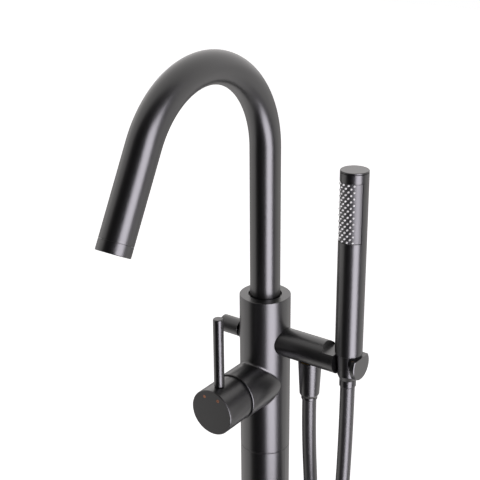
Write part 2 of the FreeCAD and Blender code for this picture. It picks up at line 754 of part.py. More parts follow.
def knob():
    """Knob cap with its rounded skirt, the spindle inside, the upright lever and the marks."""
    edge = dim.knob_diameter / 2
    rear = dim.pivot_reach - dim.knob_skirt
    rear_radius = applied("sqrt", edge * edge - dim.knob_skirt * dim.knob_skirt)
    face_floor = dim.knob_reach - dim.knob_face_thickness
    boss_low = face_floor - dim.boss_length
    boss_radius = dim.boss_diameter / 2
    spindle_radius = dim.spindle_diameter / 2
    spindle_end = face_floor - dim.knob_face_thickness
    socket_end = spindle_end + dim.spindle_end_gap
    blank = turned("knob_blank", [
        (dim.knob_skirt_bore / 2, rear), (rear_radius, rear, (0, dim.pivot_reach)),
        (edge, dim.pivot_reach), (edge, dim.knob_reach - dim.knob_bevel),
        (edge - dim.knob_bevel, dim.knob_reach), (0, dim.knob_reach), (0, socket_end),
        (spindle_radius + dim.seat_gap, socket_end), (spindle_radius + dim.seat_gap, boss_low),
        (boss_radius, boss_low), (boss_radius, face_floor), (dim.knob_bore / 2, face_floor),
        (dim.knob_bore / 2, dim.pivot_reach), (dim.knob_skirt_bore / 2, dim.pivot_reach)])
    mark_radius = dim.mark_diameter / 2 + dim.seat_gap
    mark_across = applied("sin", dim.mark_angle) * dim.mark_circle / 2
    mark_along = applied("cos", dim.mark_angle) * dim.mark_circle / 2
    mark_low = dim.knob_reach - dim.mark_depth
    tools = [
        rod("lever_hole", dim.lever_neck / 2 + dim.seat_gap, edge, y=dim.knob_bore / 2 - 2 * PAST,
            z=dim.lever_reach, turn=BACK),
        rod("warm_recess", mark_radius, PAST, -mark_across, mark_along, mark_low),
        rod("cool_recess", mark_radius, PAST, mark_across, mark_along, mark_low),
        rod("knob_screw_hole", dim.knob_screw_diameter / 2 + dim.seat_gap, edge + PAST,
            z=dim.lever_reach, turn=FRONT)]
    node(forward(cut("knob_piece", blank, tools)), "knob_cap")
    marks = {"warm_mark": turned("warm_disc", [(0, 0), (dim.mark_diameter / 2, 0),
                                               (dim.mark_diameter / 2, dim.mark_depth),
                                               (0, dim.mark_depth)]),
             "cool_mark": sleeve("cool_ring", dim.mark_ring_bore / 2, dim.mark_diameter / 2, 0,
                                 dim.mark_depth)}
    for name, side in (("warm_mark", -1), ("cool_mark", 1)):
        place(marks[name], mark_across * side, -dim.knob_reach + dim.mark_depth,
              knob_height + mark_along, FRONT)
        node(marks[name], name)

    tail = dim.pivot_reach - dim.spindle_tail
    shaft = turned("spindle_shaft", [
        (0, tail), (spindle_radius - dim.spindle_chamfer, tail),
        (spindle_radius, tail + dim.spindle_chamfer), (spindle_radius, spindle_end), (0, spindle_end)])
    pin_hole = rod("spindle_pin_hole", dim.spindle_pin_diameter / 2 + dim.running_gap,
                   dim.spindle_diameter + 2 * PAST, -spindle_radius - PAST, 0, dim.pivot_reach, RIGHT)
    node(forward(cut("spindle", shaft, [pin_hole])), "control_spindle")
    grub = socket_screw("knob_screw", dim.knob_screw_diameter, dim.knob_screw_length, DOWN, 0,
                        -dim.lever_reach, knob_height - spindle_radius - dim.screw_end_gap)
    node(grub, "knob_set_screw")

    foot = edge + dim.lever_relief
    neck_low = dim.knob_bore / 2 - dim.lever_neck_overrun
    lever_radius = dim.lever_diameter / 2
    lever = turned("lever", [
        (0, neck_low), (dim.lever_neck / 2, neck_low), (dim.lever_neck / 2, foot), (lever_radius, foot),
        (lever_radius, dim.lever_height - dim.lever_bevel),
        (lever_radius - dim.lever_bevel, dim.lever_height), (0, dim.lever_height)])
    node(place(lever, y=-dim.lever_reach, z=knob_height), "lever_pin")


def spout():
    """Swan-neck spout in its bush, held by a screw in a part-round groove, with the aerator."""
    tube_radius = dim.spout_diameter / 2
    bore_radius = tube_radius - dim.spout_wall
    foot_depth = dim.spout_socket_depth - dim.spout_floor_gap
    bend_start = foot_depth + dim.spout_rise
    turn_sine = applied("sin", dim.spout_bend_angle)
    turn_cosine = applied("cos", dim.spout_bend_angle)
    bend_end = (dim.spout_radius * (1 - turn_cosine), bend_start + dim.spout_radius * turn_sine)
    leg = dim.spout_leg - dim.aerator_length - dim.aerator_seam
    tube_end = (bend_end[0] + turn_sine * leg, bend_end[1] + turn_cosine * leg)
    body = doc.addObject("PartDesign::Body", "spout_pipe")
    route = sketch_on(body, "XZ_Plane", "spout_route")
    draw(route, [(0, 0), (0, bend_start, (dim.spout_radius, bend_start)), bend_end, tube_end],
         closed=False)
    section = sketch_on(body, "XY_Plane", "spout_section")
    for index, radius in enumerate((tube_radius, bore_radius)):
        section.addGeometry(Part.Circle(Vector(), Vector(0, 0, 1), float(radius)), False)
        section.addConstraint(Sketcher.Constraint("Coincident", index, 3, -1, 1))
        held = section.addConstraint(Sketcher.Constraint("Radius", index, float(radius)))
        section.setExpression(f"Constraints[{held}]", radius.text)
    sweep = body.newObject("PartDesign::AdditivePipe", "spout_sweep")
    sweep.Profile = section
    sweep.Spine = (route, [])
    groove_level = dim.spout_socket_depth - dim.swivel_screw_depth - dim.spout_floor_gap
    low = groove_level - dim.swivel_groove_width / 2
    high = groove_level + dim.swivel_groove_width / 2
    floor = tube_radius - dim.swivel_groove_depth
    groove_sketch = sketch_on(body, "XZ_Plane", "groove_outline")
    clear = -tube_radius - PAST
    draw(groove_sketch, [(clear, low), (-floor, low), (-floor, high), (clear, high)])
    groove = body.newObject("PartDesign::Groove", "swivel_groove")
    groove.Profile = groove_sketch
    groove.ReferenceAxis = (groove_sketch, ["V_Axis"])
    groove.Midplane = True
    screw_angle = angle_of(dim.swivel_groove_width / 2 / floor) * 2
    bind(groove, "Angle", dim.swivel_angle + screw_angle)
    place(body, z=dim.collar_height - foot_depth, turn=around(-90.0))
    node(body, "spout_tube")

    seam_out = -(tube_end[0] + turn_sine * dim.aerator_seam)
    seam_up = tube_end[1] + turn_cosine * dim.aerator_seam + dim.collar_height - foot_depth

    def at_mouth(piece, name):
        place(piece, 0, seam_out, seam_up, Rotation(Vector(1, 0, 0), float(dim.spout_bend_angle)))
        piece.setExpression("Placement.Rotation.Angle", dim.spout_bend_angle.text)
        node(piece, name)

    housing_bore = dim.aerator_bore / 2
    spigot = bore_radius - dim.seat_gap
    lip_bore = housing_bore - dim.aerator_lip
    at_mouth(turned("aerator_shell", [
        (lip_bore, dim.aerator_length), (tube_radius - dim.edge_break, dim.aerator_length),
        (tube_radius, dim.aerator_length - dim.edge_break), (tube_radius, 0), (spigot, 0),
        (spigot, -dim.aerator_spigot), (housing_bore, -dim.aerator_spigot),
        (housing_bore, dim.aerator_length - dim.aerator_lip),
        (lip_bore, dim.aerator_length - dim.aerator_lip)]), "aerator_housing")
    insert_low = dim.aerator_length - dim.aerator_lip - dim.insert_length
    insert_radius = housing_bore - dim.seat_gap
    blank = rod("insert_blank", insert_radius, dim.insert_length, z=insert_low)
    holes = []
    reach = float(housing_bore - dim.insert_margin) / float(dim.insert_pitch)
    rings = math.ceil(reach)
    for row in range(-rings, rings + 1):
        for column in range(-2 * rings, 2 * rings + 1):
            across = column + row / 2
            along = row * math.sqrt(3) / 2
            if math.hypot(across, along) > reach:
                continue
            holes.append(rod(f"insert_hole_{row}_{column}", dim.insert_hole / 2,
                             dim.insert_length + 2 * PAST, dim.insert_pitch * across,
                             dim.insert_pitch * along, insert_low - PAST))
    at_mouth(cut("insert", blank, holes), "aerator_insert")
    at_mouth(sleeve("gasket", housing_bore - dim.gasket_width, insert_radius,
                    insert_low - dim.gasket_length, insert_low), "aerator_gasket")

    bush_bore = tube_radius + dim.running_gap
    bush_edge = dim.spout_socket / 2 - dim.seat_gap
    bush_top = dim.collar_height - dim.bush_depth
    bush = sleeve("bush", bush_bore, bush_edge, 0, dim.bush_length)
    node(place(bush, z=bush_top - dim.bush_length), "spout_bush")
    seals = [sleeve("upper_seal", bush_bore, bush_edge, 0, dim.seal_length),
             sleeve("lower_seal", bush_bore, bush_edge, 0, dim.seal_length)]
    seal_top = bush_top - dim.bush_length
    place(seals[0], z=seal_top - dim.seal_length)
    place(seals[1], z=dim.collar_height - dim.spout_socket_depth + dim.spout_floor_gap)
    node(group("spout_seal_pair", seals), "spout_seals")
    tip = tube_radius - dim.swivel_groove_depth + dim.moving_gap
    screw_length = dim.mixer_diameter / 2 - dim.swivel_screw_inset - tip
    screw = socket_screw("swivel_screw", dim.swivel_screw_diameter, screw_length, BACK, 0, tip,
                         dim.collar_height - dim.swivel_screw_depth)
    node(screw, "spout_set_screw")


def diverter():
    """Pull-out diverter: bonnet in the body, stem with its land and ring, and the plain knob."""
    stem = dim.diverter_stem_diameter / 2
    bonnet_edge = cross_radius - dim.seat_gap
    neck = dim.bonnet_neck / 2
    bonnet = turned("bonnet", [
        (stem + dim.running_gap, dim.bonnet_start), (bonnet_edge, dim.bonnet_start),
        (bonnet_edge, dim.bonnet_shoulder), (neck, dim.bonnet_shoulder), (neck, dim.bonnet_reach),
        (stem + dim.running_gap, dim.bonnet_reach)])
    node(place(bonnet, z=arm_height, turn=LEFT), "diverter_bonnet")
    land_top = dim.bonnet_start - dim.diverter_travel - dim.moving_gap * 2
    land_low = land_top - dim.diverter_land_length
    land = dim.diverter_land / 2
    lip = dim.diverter_land_length * dim.diverter_groove_share
    groove_low = land_low + lip
    groove_high = land_top - lip
    groove_floor = land - dim.diverter_groove_depth
    stem_end = dim.diverter_reach - dim.diverter_cover
    stem_socket_end = stem_end + dim.screw_end_gap
    shaft = turned("diverter_shaft", [
        (0, land_low), (land, land_low), (land, groove_low), (groove_floor, groove_low),
        (groove_floor, groove_high), (land, groove_high), (land, land_top), (stem, land_top),
        (stem, stem_end), (0, stem_end)])
    node(place(shaft, z=arm_height, turn=LEFT), "diverter_stem")
    seal = sleeve("diverter_ring", groove_floor + dim.seat_gap, cross_radius - dim.moving_gap,
                  groove_low + dim.seat_gap, groove_high - dim.seat_gap)
    node(place(seal, z=arm_height, turn=LEFT), "diverter_seal_ring")
    edge = dim.diverter_diameter / 2
    cap = turned("diverter_cap", [
        (stem + dim.seat_gap, dim.diverter_start), (edge - dim.edge_break, dim.diverter_start),
        (edge, dim.diverter_start + dim.edge_break), (edge, dim.diverter_reach - dim.diverter_bevel),
        (edge - dim.diverter_bevel, dim.diverter_reach), (0, dim.diverter_reach),
        (0, stem_socket_end), (stem + dim.seat_gap, stem_socket_end)])
    screw_reach = (dim.diverter_start + stem_end) / 2
    screw_hole = rod("diverter_screw_hole", dim.diverter_screw_diameter / 2 + dim.seat_gap, edge,
                     z=screw_reach, turn=LEFT)
    node(place(cut("diverter_knob_piece", cap, [screw_hole]), z=arm_height, turn=LEFT), "diverter_knob")
    grub = socket_screw("diverter_screw", dim.diverter_screw_diameter, dim.diverter_screw_length, DOWN,
                        -screw_reach, 0, arm_height - stem - dim.screw_end_gap)
    node(grub, "diverter_set_screw")


def arm():
    """Fixed arm: spigot in the body, waterway to the outlet, notched end with the open cradle."""
    radius = dim.arm_diameter / 2
    spigot_radius = cross_radius - dim.seat_gap
    root = dim.mixer_diameter / 2 - dim.arm_root_depth
    barrel = turned("arm_barrel", [
        (0, root), (radius, root), (radius, dim.arm_reach - dim.arm_bevel),
        (radius - dim.arm_bevel, dim.arm_reach), (0, dim.arm_reach)])
    place(barrel, turn=RIGHT)
    saddle = rod("arm_saddle", dim.mixer_diameter / 2 + dim.seat_gap, dim.arm_diameter * 2,
                 z=-dim.arm_diameter)
    spigot = rod("arm_spigot", spigot_radius, dim.mixer_diameter / 2 + PAST - dim.arm_spigot_start,
                 x=dim.arm_spigot_start, turn=RIGHT)
    blank = fuse("arm_blank", [cut("arm_saddled", barrel, [saddle]), spigot])
    wide = dim.arm_diameter + 2 * PAST
    notch = rod("arm_notch", dim.notch_radius, radius, x=handset_reach, z=dim.notch_height)
    slot = block("cradle_slot_tool", dim.cradle_slot, radius + PAST, wide,
                 handset_reach - dim.cradle_slot / 2, -radius - PAST, -wide / 2)
    cone_top = dim.handset_lift - dim.moving_gap
    foot_level = cone_top - dim.cone_length
    cone_radius = dim.cone_top_diameter / 2 + dim.moving_gap
    foot_radius = dim.cone_foot_diameter / 2 + dim.moving_gap
    socket = turned("cradle_cone", [
        (0, -wide / 2), (foot_radius, -wide / 2), (foot_radius, foot_level), (cone_radius, cone_top),
        (0, cone_top)])
    place(socket, x=handset_reach)
    waterway_start = dim.arm_spigot_start - PAST
    waterway_end = dim.outlet_reach + dim.waterway / 2
    waterway = rod("arm_waterway", dim.waterway / 2, waterway_end - waterway_start, x=waterway_start,
                   turn=RIGHT)
    port = rod("outlet_port", dim.outlet_tail / 2 + dim.seat_gap, radius + PAST, x=dim.outlet_reach,
               turn=DOWN)
    spot_face = rod("outlet_spot_face", dim.nut_top_diameter / 2 + dim.moving_gap, radius,
                    dim.outlet_reach, 0, -dim.outlet_seat, DOWN)
    piece = cut("arm_piece", blank, [notch, slot, socket, waterway, port, spot_face])
    node(place(piece, z=arm_height), "handset_arm")
    seal = ring("arm_ring", spigot_radius - dim.arm_ring * 2, dim.arm_ring)
    node(place(seal, dim.arm_spigot_start - dim.arm_ring, 0, arm_height, RIGHT), "arm_seal_ring")


def below_arm(piece, name):
    """Put a piece on the outlet's axis, its local Z pointing down from the arm's axis."""
    return node(place(piece, dim.outlet_reach, 0, arm_height, DOWN), name)


def outlet():
    """Outlet nipple with its check valve, and the fixed end of the hose."""
    bore = dim.port_diameter / 2
    tail = dim.outlet_tail / 2
    thread = dim.outlet_thread / 2
    seat = dim.outlet_seat
    tail_top = seat - dim.outlet_tail_length
    thread_end = seat + dim.moving_gap + dim.outlet_thread_length
    below_arm(turned("nipple", [
        (bore, tail_top), (tail, tail_top), (tail, seat), (thread, seat), (thread, thread_end),
        (bore, thread_end)]), "outlet_nipple")
    valve_top = thread_end - dim.check_valve_length
    valve_edge = bore - dim.seat_gap
    below_arm(sleeve("valve", valve_edge - dim.check_valve_wall, valve_edge, valve_top,
                     thread_end - dim.check_valve_inset), "check_valve")
    nut_top = seat + dim.moving_gap
    washer_low = thread_end
    washer_end = washer_low + dim.washer_length
    nut_floor = nut_top + dim.nut_thread_depth
    kink = nut_top + dim.nut_length
    foot = kink + dim.nut_bevel
    nut_bore = dim.nut_bore / 2
    below_arm(turned("hose_nut", [
        (thread + dim.seat_gap, nut_top), (dim.nut_top_diameter / 2, nut_top),
        (dim.nut_foot_diameter / 2, kink), (dim.ferrule_diameter / 2, foot), (nut_bore, foot),
        (nut_bore, nut_floor), (thread + dim.seat_gap, nut_floor)]), "outlet_hose_nut")
    below_arm(sleeve("hose_washer", dim.washer_bore / 2, thread - dim.seat_gap, washer_low, washer_end),
              "outlet_hose_washer")
    end = foot + dim.ferrule_length
    below_arm(turned("hose_ferrule", [
        (nut_bore, foot), (dim.ferrule_diameter / 2, foot),
        (dim.ferrule_diameter / 2, end - dim.ferrule_bevel),
        (dim.ferrule_diameter / 2 - dim.ferrule_bevel, end), (nut_bore, end)]), "outlet_hose_ferrule")
    return Vector(float(dim.outlet_reach), 0, float(arm_height - end))


def below_handset(piece, name):
    """Put a piece on the hand shower's axis, its local Z pointing down from the lower rim."""
    return node(place(piece, handset_reach, 0, handset_rim_height, DOWN), name)


def handset_hose_end():
    """Conical nut that rests in the cradle, its washer and the ferrule on the hose."""
    top = dim.moving_gap
    thread = dim.outlet_thread / 2
    kink = top + dim.cone_length
    foot = kink + dim.cone_bevel
    end = foot + dim.cone_ferrule_length
    bore = dim.nut_bore / 2
    ferrule = dim.ferrule_diameter / 2
    thread_floor = top + dim.inlet_thread_length + dim.washer_length
    below_handset(turned("cone_nut", [
        (thread + dim.running_gap, top), (dim.cone_top_diameter / 2, top),
        (dim.cone_foot_diameter / 2, kink), (ferrule, foot), (bore, foot), (bore, thread_floor),
        (thread + dim.running_gap, thread_floor)]), "handset_hose_nut")
    below_handset(sleeve("cone_washer", dim.washer_bore / 2, thread, thread_floor - dim.washer_length,
                         thread_floor), "handset_hose_washer")
    below_handset(turned("cone_ferrule", [
        (bore, foot), (ferrule, foot), (ferrule, end - dim.ferrule_bevel),
        (ferrule - dim.ferrule_bevel, end), (bore, end)]), "handset_hose_ferrule")
    return Vector(float(handset_reach), 0, float(handset_rim_height - end - dim.moving_gap))


def on_handset(piece, name):
    """Put a piece on the hand shower's axis, its local Z pointing up from the lower rim."""
    return node(place(piece, handset_reach, 0, handset_rim_height), name)


def handset():
    """Hand shower: barrel, top cap, spray panel with soft nubs, inlet plug and inner tube."""
    edge = dim.handset_diameter / 2
    bore = dim.handset_bore / 2
    plug = bore - dim.seat_gap
    barrel_top = dim.handset_length - dim.cap_thickness - dim.cap_seam
    barrel = turned("barrel", [
        (bore, 0), (edge - dim.edge_break, 0), (edge, dim.edge_break), (edge, barrel_top),
        (bore, barrel_top)])
    panel_high = dim.handset_length - dim.panel_top
    panel_low = panel_high - dim.panel_length
    panel_middle = -(dim.panel_offset_angle + 90.0)
    window = sector("window", bore - dim.window_overlap, edge + dim.window_overlap, dim.panel_angle,
                    panel_low, dim.panel_length, panel_middle - dim.panel_angle / 2)
    on_handset(cut("barrel_piece", barrel, [window]), "handset_body")
    cap_low = barrel_top + dim.cap_seam
    on_handset(turned("top_cap", [
        (0, barrel_top - dim.cap_plug), (plug, barrel_top - dim.cap_plug), (plug, cap_low),
        (edge, cap_low), (edge, dim.handset_length - dim.edge_break),
        (edge - dim.edge_break, dim.handset_length), (0, dim.handset_length)]), "handset_top_cap")

    panel_outer = edge - dim.panel_recess
    panel_inner = panel_outer - dim.panel_thickness
    gap_angle = angle_of(dim.panel_gap / edge)
    inner_angle = dim.panel_angle - gap_angle * 2
    inner_start = panel_middle - inner_angle / 2
    inner_low = panel_low + dim.panel_gap
    inner_length = dim.panel_length - dim.panel_gap * 2
    plate = sector("panel_plate", panel_inner, panel_outer, inner_angle, inner_low, inner_length,
                   inner_start)
    pad = sector("pad_plate", panel_inner - dim.seat_gap - dim.pad_thickness, panel_inner - dim.seat_gap,
                 inner_angle, inner_low, inner_length, inner_start)
    nub_holes, nubs = [], []
    columns = round(float(dim.nub_columns))
    rows = round(float(dim.nub_rows))
    nub_radius = dim.nub_diameter / 2
    nub_start = panel_inner - dim.pad_thickness / 2
    nub_end = panel_outer + dim.nub_height
    field_low = panel_low + (dim.panel_length - dim.nub_pitch * (rows - 1)) / 2
    for column in range(columns):
        angle = panel_middle + dim.nub_column_angle * (column - (columns - 1) / 2)
        across = applied("cos", angle)
        along = applied("sin", angle)
        direction = around(float(angle), RIGHT)
        shifted = column % 2
        for row in range(rows - shifted):
            level = field_low + dim.nub_pitch * (row + shifted / 2)
            spot = (across * nub_start, along * nub_start, level)
            nub_holes.append(rod(f"nub_hole_{column}_{row}", nub_radius + dim.seat_gap * 2, edge / 2,
                                 *spot, direction))
            nubs.append(rod(f"nub_{column}_{row}", nub_radius, nub_end - nub_start, *spot, direction))
    on_handset(cut("panel_piece", plate, nub_holes), "spray_panel")
    on_handset(fuse("pad_piece", [pad] + nubs), "nozzle_pad")

    thread = dim.outlet_thread / 2
    tube = dim.water_tube_diameter / 2
    tube_low = dim.inlet_plug_length - dim.water_tube_seat
    plug_bore = dim.inlet_plug_bore / 2
    on_handset(turned("inlet_plug", [
        (plug_bore, -dim.inlet_thread_length), (thread, -dim.inlet_thread_length), (thread, 0), (plug, 0),
        (plug, dim.inlet_plug_length), (tube + dim.seat_gap, dim.inlet_plug_length),
        (tube + dim.seat_gap, tube_low), (plug_bore, tube_low)]), "handset_inlet_plug")
    bulkhead_top = panel_low - dim.bulkhead_gap
    bulkhead_low = bulkhead_top - dim.bulkhead_thickness
    on_handset(sleeve("bulkhead", tube + dim.seat_gap, plug, bulkhead_low, bulkhead_top),
               "handset_bulkhead")
    on_handset(sleeve("inner_tube", tube - dim.supply_wall, tube, tube_low, bulkhead_top),
               "handset_water_tube")


def hose(start, end):
    """The free hose: straight runs joined by tangent arcs, swept with a round section."""
    points = [start] + [Vector(*point) for point in HOSE_DOWN + HOSE_BEND + HOSE_UP] + [end]
    edges, radii, last = [], [], start
    for before, corner, after in zip(points, points[1:], points[2:]):
        arriving, leaving = corner - before, after - corner
        half_turn = arriving.getAngle(leaving) / 2
        setback = HOSE_ROUNDING * min(arriving.Length, leaving.Length)
        radii.append(setback / math.tan(half_turn))
        arriving.normalize()
        leaving.normalize()
        arc_start, arc_end = corner - arriving * setback, corner + leaving * setback
        inward = (leaving - arriving).normalize()
        middle = corner + inward * (radii[-1] / math.cos(half_turn) - radii[-1])
        edges.append(Part.LineSegment(last, arc_start).toShape())
        edges.append(Part.Arc(arc_start, middle, arc_end).toShape())
        last = arc_end
    edges.append(Part.LineSegment(last, end).toShape())
    path = Part.Wire(edges)
    radius = float(dim.hose_diameter) / 2
    section = Part.Wire(Part.Circle(start, points[1] - start, radius).toShape())
    shape = Part.BRepOffsetAPI.MakePipeShell(path)
    shape.add(section)
    shape.setTransitionMode(0)
    shape.build()
    shape.makeSolid()
    piece = doc.addObject("Part::Feature", "shower_hose_tube")
    piece.Shape = shape.shape()
    expected = math.pi * radius * radius * path.Length
    print("hose radii", [round(value) for value in radii])
    print(f"hose length {path.Length:.1f}, volume over section times length "
          f"{piece.Shape.Volume / expected:.4f}")
    node(piece, "shower_hose")


def report_size():
    """Print the number of pieces and the box of the whole part."""
    box = FreeCAD.BoundBox()
    for piece in nodes:
        box.add(piece.Shape.BoundBox)
    print(f"{len(nodes)} nodes, box {box}")


def export():
    """Check every object and every piece, then write one STEP file for each piece."""
    doc.recompute()
    for thing in doc.Objects:
        if "Invalid" in thing.State or "Error" in thing.State:
            raise RuntimeError(f"{thing.Name} {thing.Label} failed: {thing.State}")
    for piece in nodes:
        if piece.Shape.isNull() or not piece.Shape.isValid() or not piece.Shape.Solids:
            raise RuntimeError(f"{piece.Label} has no valid solid")
    os.makedirs("parts", exist_ok=True)
    for piece in nodes:
        piece.Shape.exportStep(f"parts/{piece.Label}.step")


base()
supplies()
mixer_body()
cartridge()
knob()
spout()
diverter()
arm()
hose_start = outlet()
hose_end = handset_hose_end()
handset()
hose(hose_start, hose_end)
export()
report_size()
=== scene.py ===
"""Looks of a floor standing bath filler with a hand shower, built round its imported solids.

Each sub-assembly is a class that holds its own sizes in metres.  It keeps the solids whose shape
is right, softens their machined edges, and builds the pieces that need more than a solid gives:
the swept spout, the cast blend round the mixer's neck, the domed spray nubs and the hanging hose.
"""
from __future__ import annotations

import json
import logging
import math
from dataclasses import dataclass
from enum import Enum
from typing import Any, Iterable, Sequence

import bmesh
import bpy
from mathutils import Matrix, Vector
from mathutils.bvhtree import BVHTree
from mathutils.interpolate import poly_3d_calc

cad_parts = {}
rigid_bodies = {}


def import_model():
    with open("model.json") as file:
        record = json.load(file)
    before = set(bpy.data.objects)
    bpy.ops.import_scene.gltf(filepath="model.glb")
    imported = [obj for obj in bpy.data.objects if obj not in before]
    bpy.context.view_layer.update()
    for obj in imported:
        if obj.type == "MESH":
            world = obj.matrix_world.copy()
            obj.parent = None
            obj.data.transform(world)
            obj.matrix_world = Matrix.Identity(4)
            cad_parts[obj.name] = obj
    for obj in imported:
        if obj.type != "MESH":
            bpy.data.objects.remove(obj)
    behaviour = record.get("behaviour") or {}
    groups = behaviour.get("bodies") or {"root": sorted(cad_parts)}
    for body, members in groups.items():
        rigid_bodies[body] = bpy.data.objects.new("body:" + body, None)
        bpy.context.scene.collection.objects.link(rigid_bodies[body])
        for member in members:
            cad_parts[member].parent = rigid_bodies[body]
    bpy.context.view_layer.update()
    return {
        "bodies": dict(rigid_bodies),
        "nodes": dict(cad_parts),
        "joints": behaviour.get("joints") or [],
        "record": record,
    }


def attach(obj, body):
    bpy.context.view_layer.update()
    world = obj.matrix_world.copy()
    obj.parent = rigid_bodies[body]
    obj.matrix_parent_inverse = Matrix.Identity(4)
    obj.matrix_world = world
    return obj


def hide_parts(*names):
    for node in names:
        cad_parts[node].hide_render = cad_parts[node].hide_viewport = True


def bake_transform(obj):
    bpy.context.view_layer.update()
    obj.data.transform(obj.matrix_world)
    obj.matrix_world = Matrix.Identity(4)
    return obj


LOG = logging.getLogger("bath_filler")
Point = tuple[float, float, float]
Stops = tuple[tuple[float, float], ...]
SHARP_ANGLE = math.radians(32.0)


class Body(Enum):
    """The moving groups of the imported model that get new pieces."""

    STAND = "stand"
    SPOUT = "spout"
    HOSE_END = "hose_end"
    HANDSET = "handset"


class Slot(Enum):
    """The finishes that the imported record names."""

    SATIN_BLACK = "satin_black"
    BLACK_SEAL = "black_seal"
    BRASS = "brass"
    COPPER = "copper"
    STEEL = "steel"
    BLACK_STEEL = "black_steel"
    CERAMIC = "ceramic"
    WHITE_PLASTIC = "white_plastic"
    BLACK_PLASTIC = "black_plastic"
    HOSE_SKIN = "hose_skin"
    NOZZLE_SILICONE = "nozzle_silicone"


class Wire:
    """A socket that Python operators combine with numbers and other sockets through Math nodes."""

    def __init__(self, graph: Graph, socket: bpy.types.NodeSocket) -> None:
        """Keep the socket and the graph that holds it."""
        self.graph = graph
        self.socket = socket

    def combined(self, operation: str, *values: Wire | float) -> Wire:
        """Add a Math node.

        Args:
            operation: the node's operation.
            values: its values in order.

        Returns:
            The node's result.
        """
        return self.graph.add("ShaderNodeMath", {"operation": operation},
                              dict(enumerate(values)))

    def __add__(self, other: Wire | float) -> Wire:
        """Sum."""
        return self.combined("ADD", self, other)

    def __sub__(self, other: Wire | float) -> Wire:
        """Difference."""
        return self.combined("SUBTRACT", self, other)

    def __rsub__(self, other: float) -> Wire:
        """Difference from a number."""
        return self.combined("SUBTRACT", other, self)

    def __mul__(self, other: Wire | float) -> Wire:
        """Product."""
        return self.combined("MULTIPLY", self, other)

    def __truediv__(self, other: Wire | float) -> Wire:
        """Quotient."""
        return self.combined("DIVIDE", self, other)

    def __mod__(self, other: float) -> Wire:
        """Remainder."""
        return self.combined("MODULO", self, other)

    def floor(self) -> Wire:
        """Whole part."""
        return self.combined("FLOOR", self)

    def sine(self) -> Wire:
        """Sine of radians."""
        return self.combined("SINE", self)

    def cosine(self) -> Wire:
        """Cosine of radians."""
        return self.combined("COSINE", self)

    def at_least(self, other: Wire | float) -> Wire:
        """The larger value."""
        return self.combined("MAXIMUM", self, other)

    def at_most(self, other: Wire | float) -> Wire:
        """The smaller value."""
        return self.combined("MINIMUM", self, other)


class Graph:
    """A node tree with one method that adds a node of any type."""

    def __init__(self, tree: bpy.types.NodeTree) -> None:
        """Start from an empty tree."""
        self.tree = tree
        tree.nodes.clear()

    def add(self, kind: str, settings: dict[str, Any] | None = None,
            inputs: dict[str | int, Any] | None = None, output: str | int = 0) -> Wire:
        """Add a node, with its settings first and the values or links of its sockets after.

        Args:
            kind: the node's type name.
            settings: properties of the node.
            inputs: values or wires by socket name or number.
            output: the socket that the wire starts from.

        Returns:
            A wire from that output, or from the first input of a node that has none.
        """
        node = self.tree.nodes.new(kind)
        for name, value in (settings or {}).items():
            setattr(node, name, value)
        for name, value in (inputs or {}).items():
            if isinstance(value, Wire):
                self.tree.links.new(value.socket, node.inputs[name])
            else:
                node.inputs[name].default_value = value
        return Wire(self, node.outputs[output] if node.outputs else node.inputs[0])

    def ramp(self, factor: Wire, stops: Stops) -> Wire:
        """A grey ramp with eased steps.

        Args:
            factor: where on the ramp to read.
            stops: pairs of place and grey level, the lowest first.

        Returns:
            The ramp's level.
        """
        wire = self.add("ShaderNodeValToRGB", None, {"Fac": factor})
        ramp = wire.socket.node.color_ramp
        ramp.interpolation = "EASE"
        while len(ramp.elements) < len(stops):
            ramp.elements.new(1.0)
        for element, (place, level) in zip(ramp.elements, stops):
            element.position = place
            element.color = (level, level, level, 1.0)
        return wire


class Recipe(Graph):
    """A Geometry Nodes tree with named inputs, applied to a blank object and taken as a mesh."""

    def __init__(self, name: str) -> None:
        """Make the tree with its geometry output.

        Args:
            name: the tree's name, which its mesh gets too.
        """
        super().__init__(bpy.data.node_groups.new(name, "GeometryNodeTree"))
        self.tree.interface.new_socket("Geometry", in_out="OUTPUT",
                                       socket_type="NodeSocketGeometry")
        self.values: dict[str, Any] = {}
        self.start = self.tree.nodes.new("NodeGroupInput")

    def given(self, name: str, kind: str, value: Any) -> Wire:
        """Add a named input with the value that the modifier sets.

        Args:
            name: the input's name.
            kind: the socket's type.
            value: what the modifier gives it.

        Returns:
            The input inside the tree.
        """
        item = self.tree.interface.new_socket(name, in_out="INPUT", socket_type=kind)
        self.values[item.identifier] = value
        return Wire(self, self.start.outputs[name])

    def number(self, name: str, value: float) -> Wire:
        """Add a named length, angle or share."""
        return self.given(name, "NodeSocketFloat", value)

    def whole(self, name: str, value: int) -> Wire:
        """Add a named count."""
        return self.given(name, "NodeSocketInt", value)

    def place(self, x: Wire | float, y: Wire | float, z: Wire | float) -> Wire:
        """A vector from three numbers."""
        return self.add("ShaderNodeCombineXYZ", None, {"X": x, "Y": y, "Z": z})

    def mesh(self, shape: Wire, material: bpy.types.Material) -> bpy.types.Mesh:
        """Finish the tree, run it once and keep what it makes.

        Args:
            shape: the geometry to give out.
            material: the finish of its faces.

        Returns:
            A plain mesh.
        """
        real = self.add("GeometryNodeRealizeInstances", None, {"Geometry": shape})
        dressed = self.add("GeometryNodeSetMaterial", None, {
            "Geometry": real, "Material": material})
        self.add("NodeGroupOutput", None, {0: dressed})
        blank = placed(self.tree.name, bpy.data.meshes.new(self.tree.name))
        modifier = blank.modifiers.new("recipe", "NODES")
        modifier.node_group = self.tree
        for identifier, value in self.values.items():
            modifier[identifier] = value
        return baked(blank, self.tree.name)


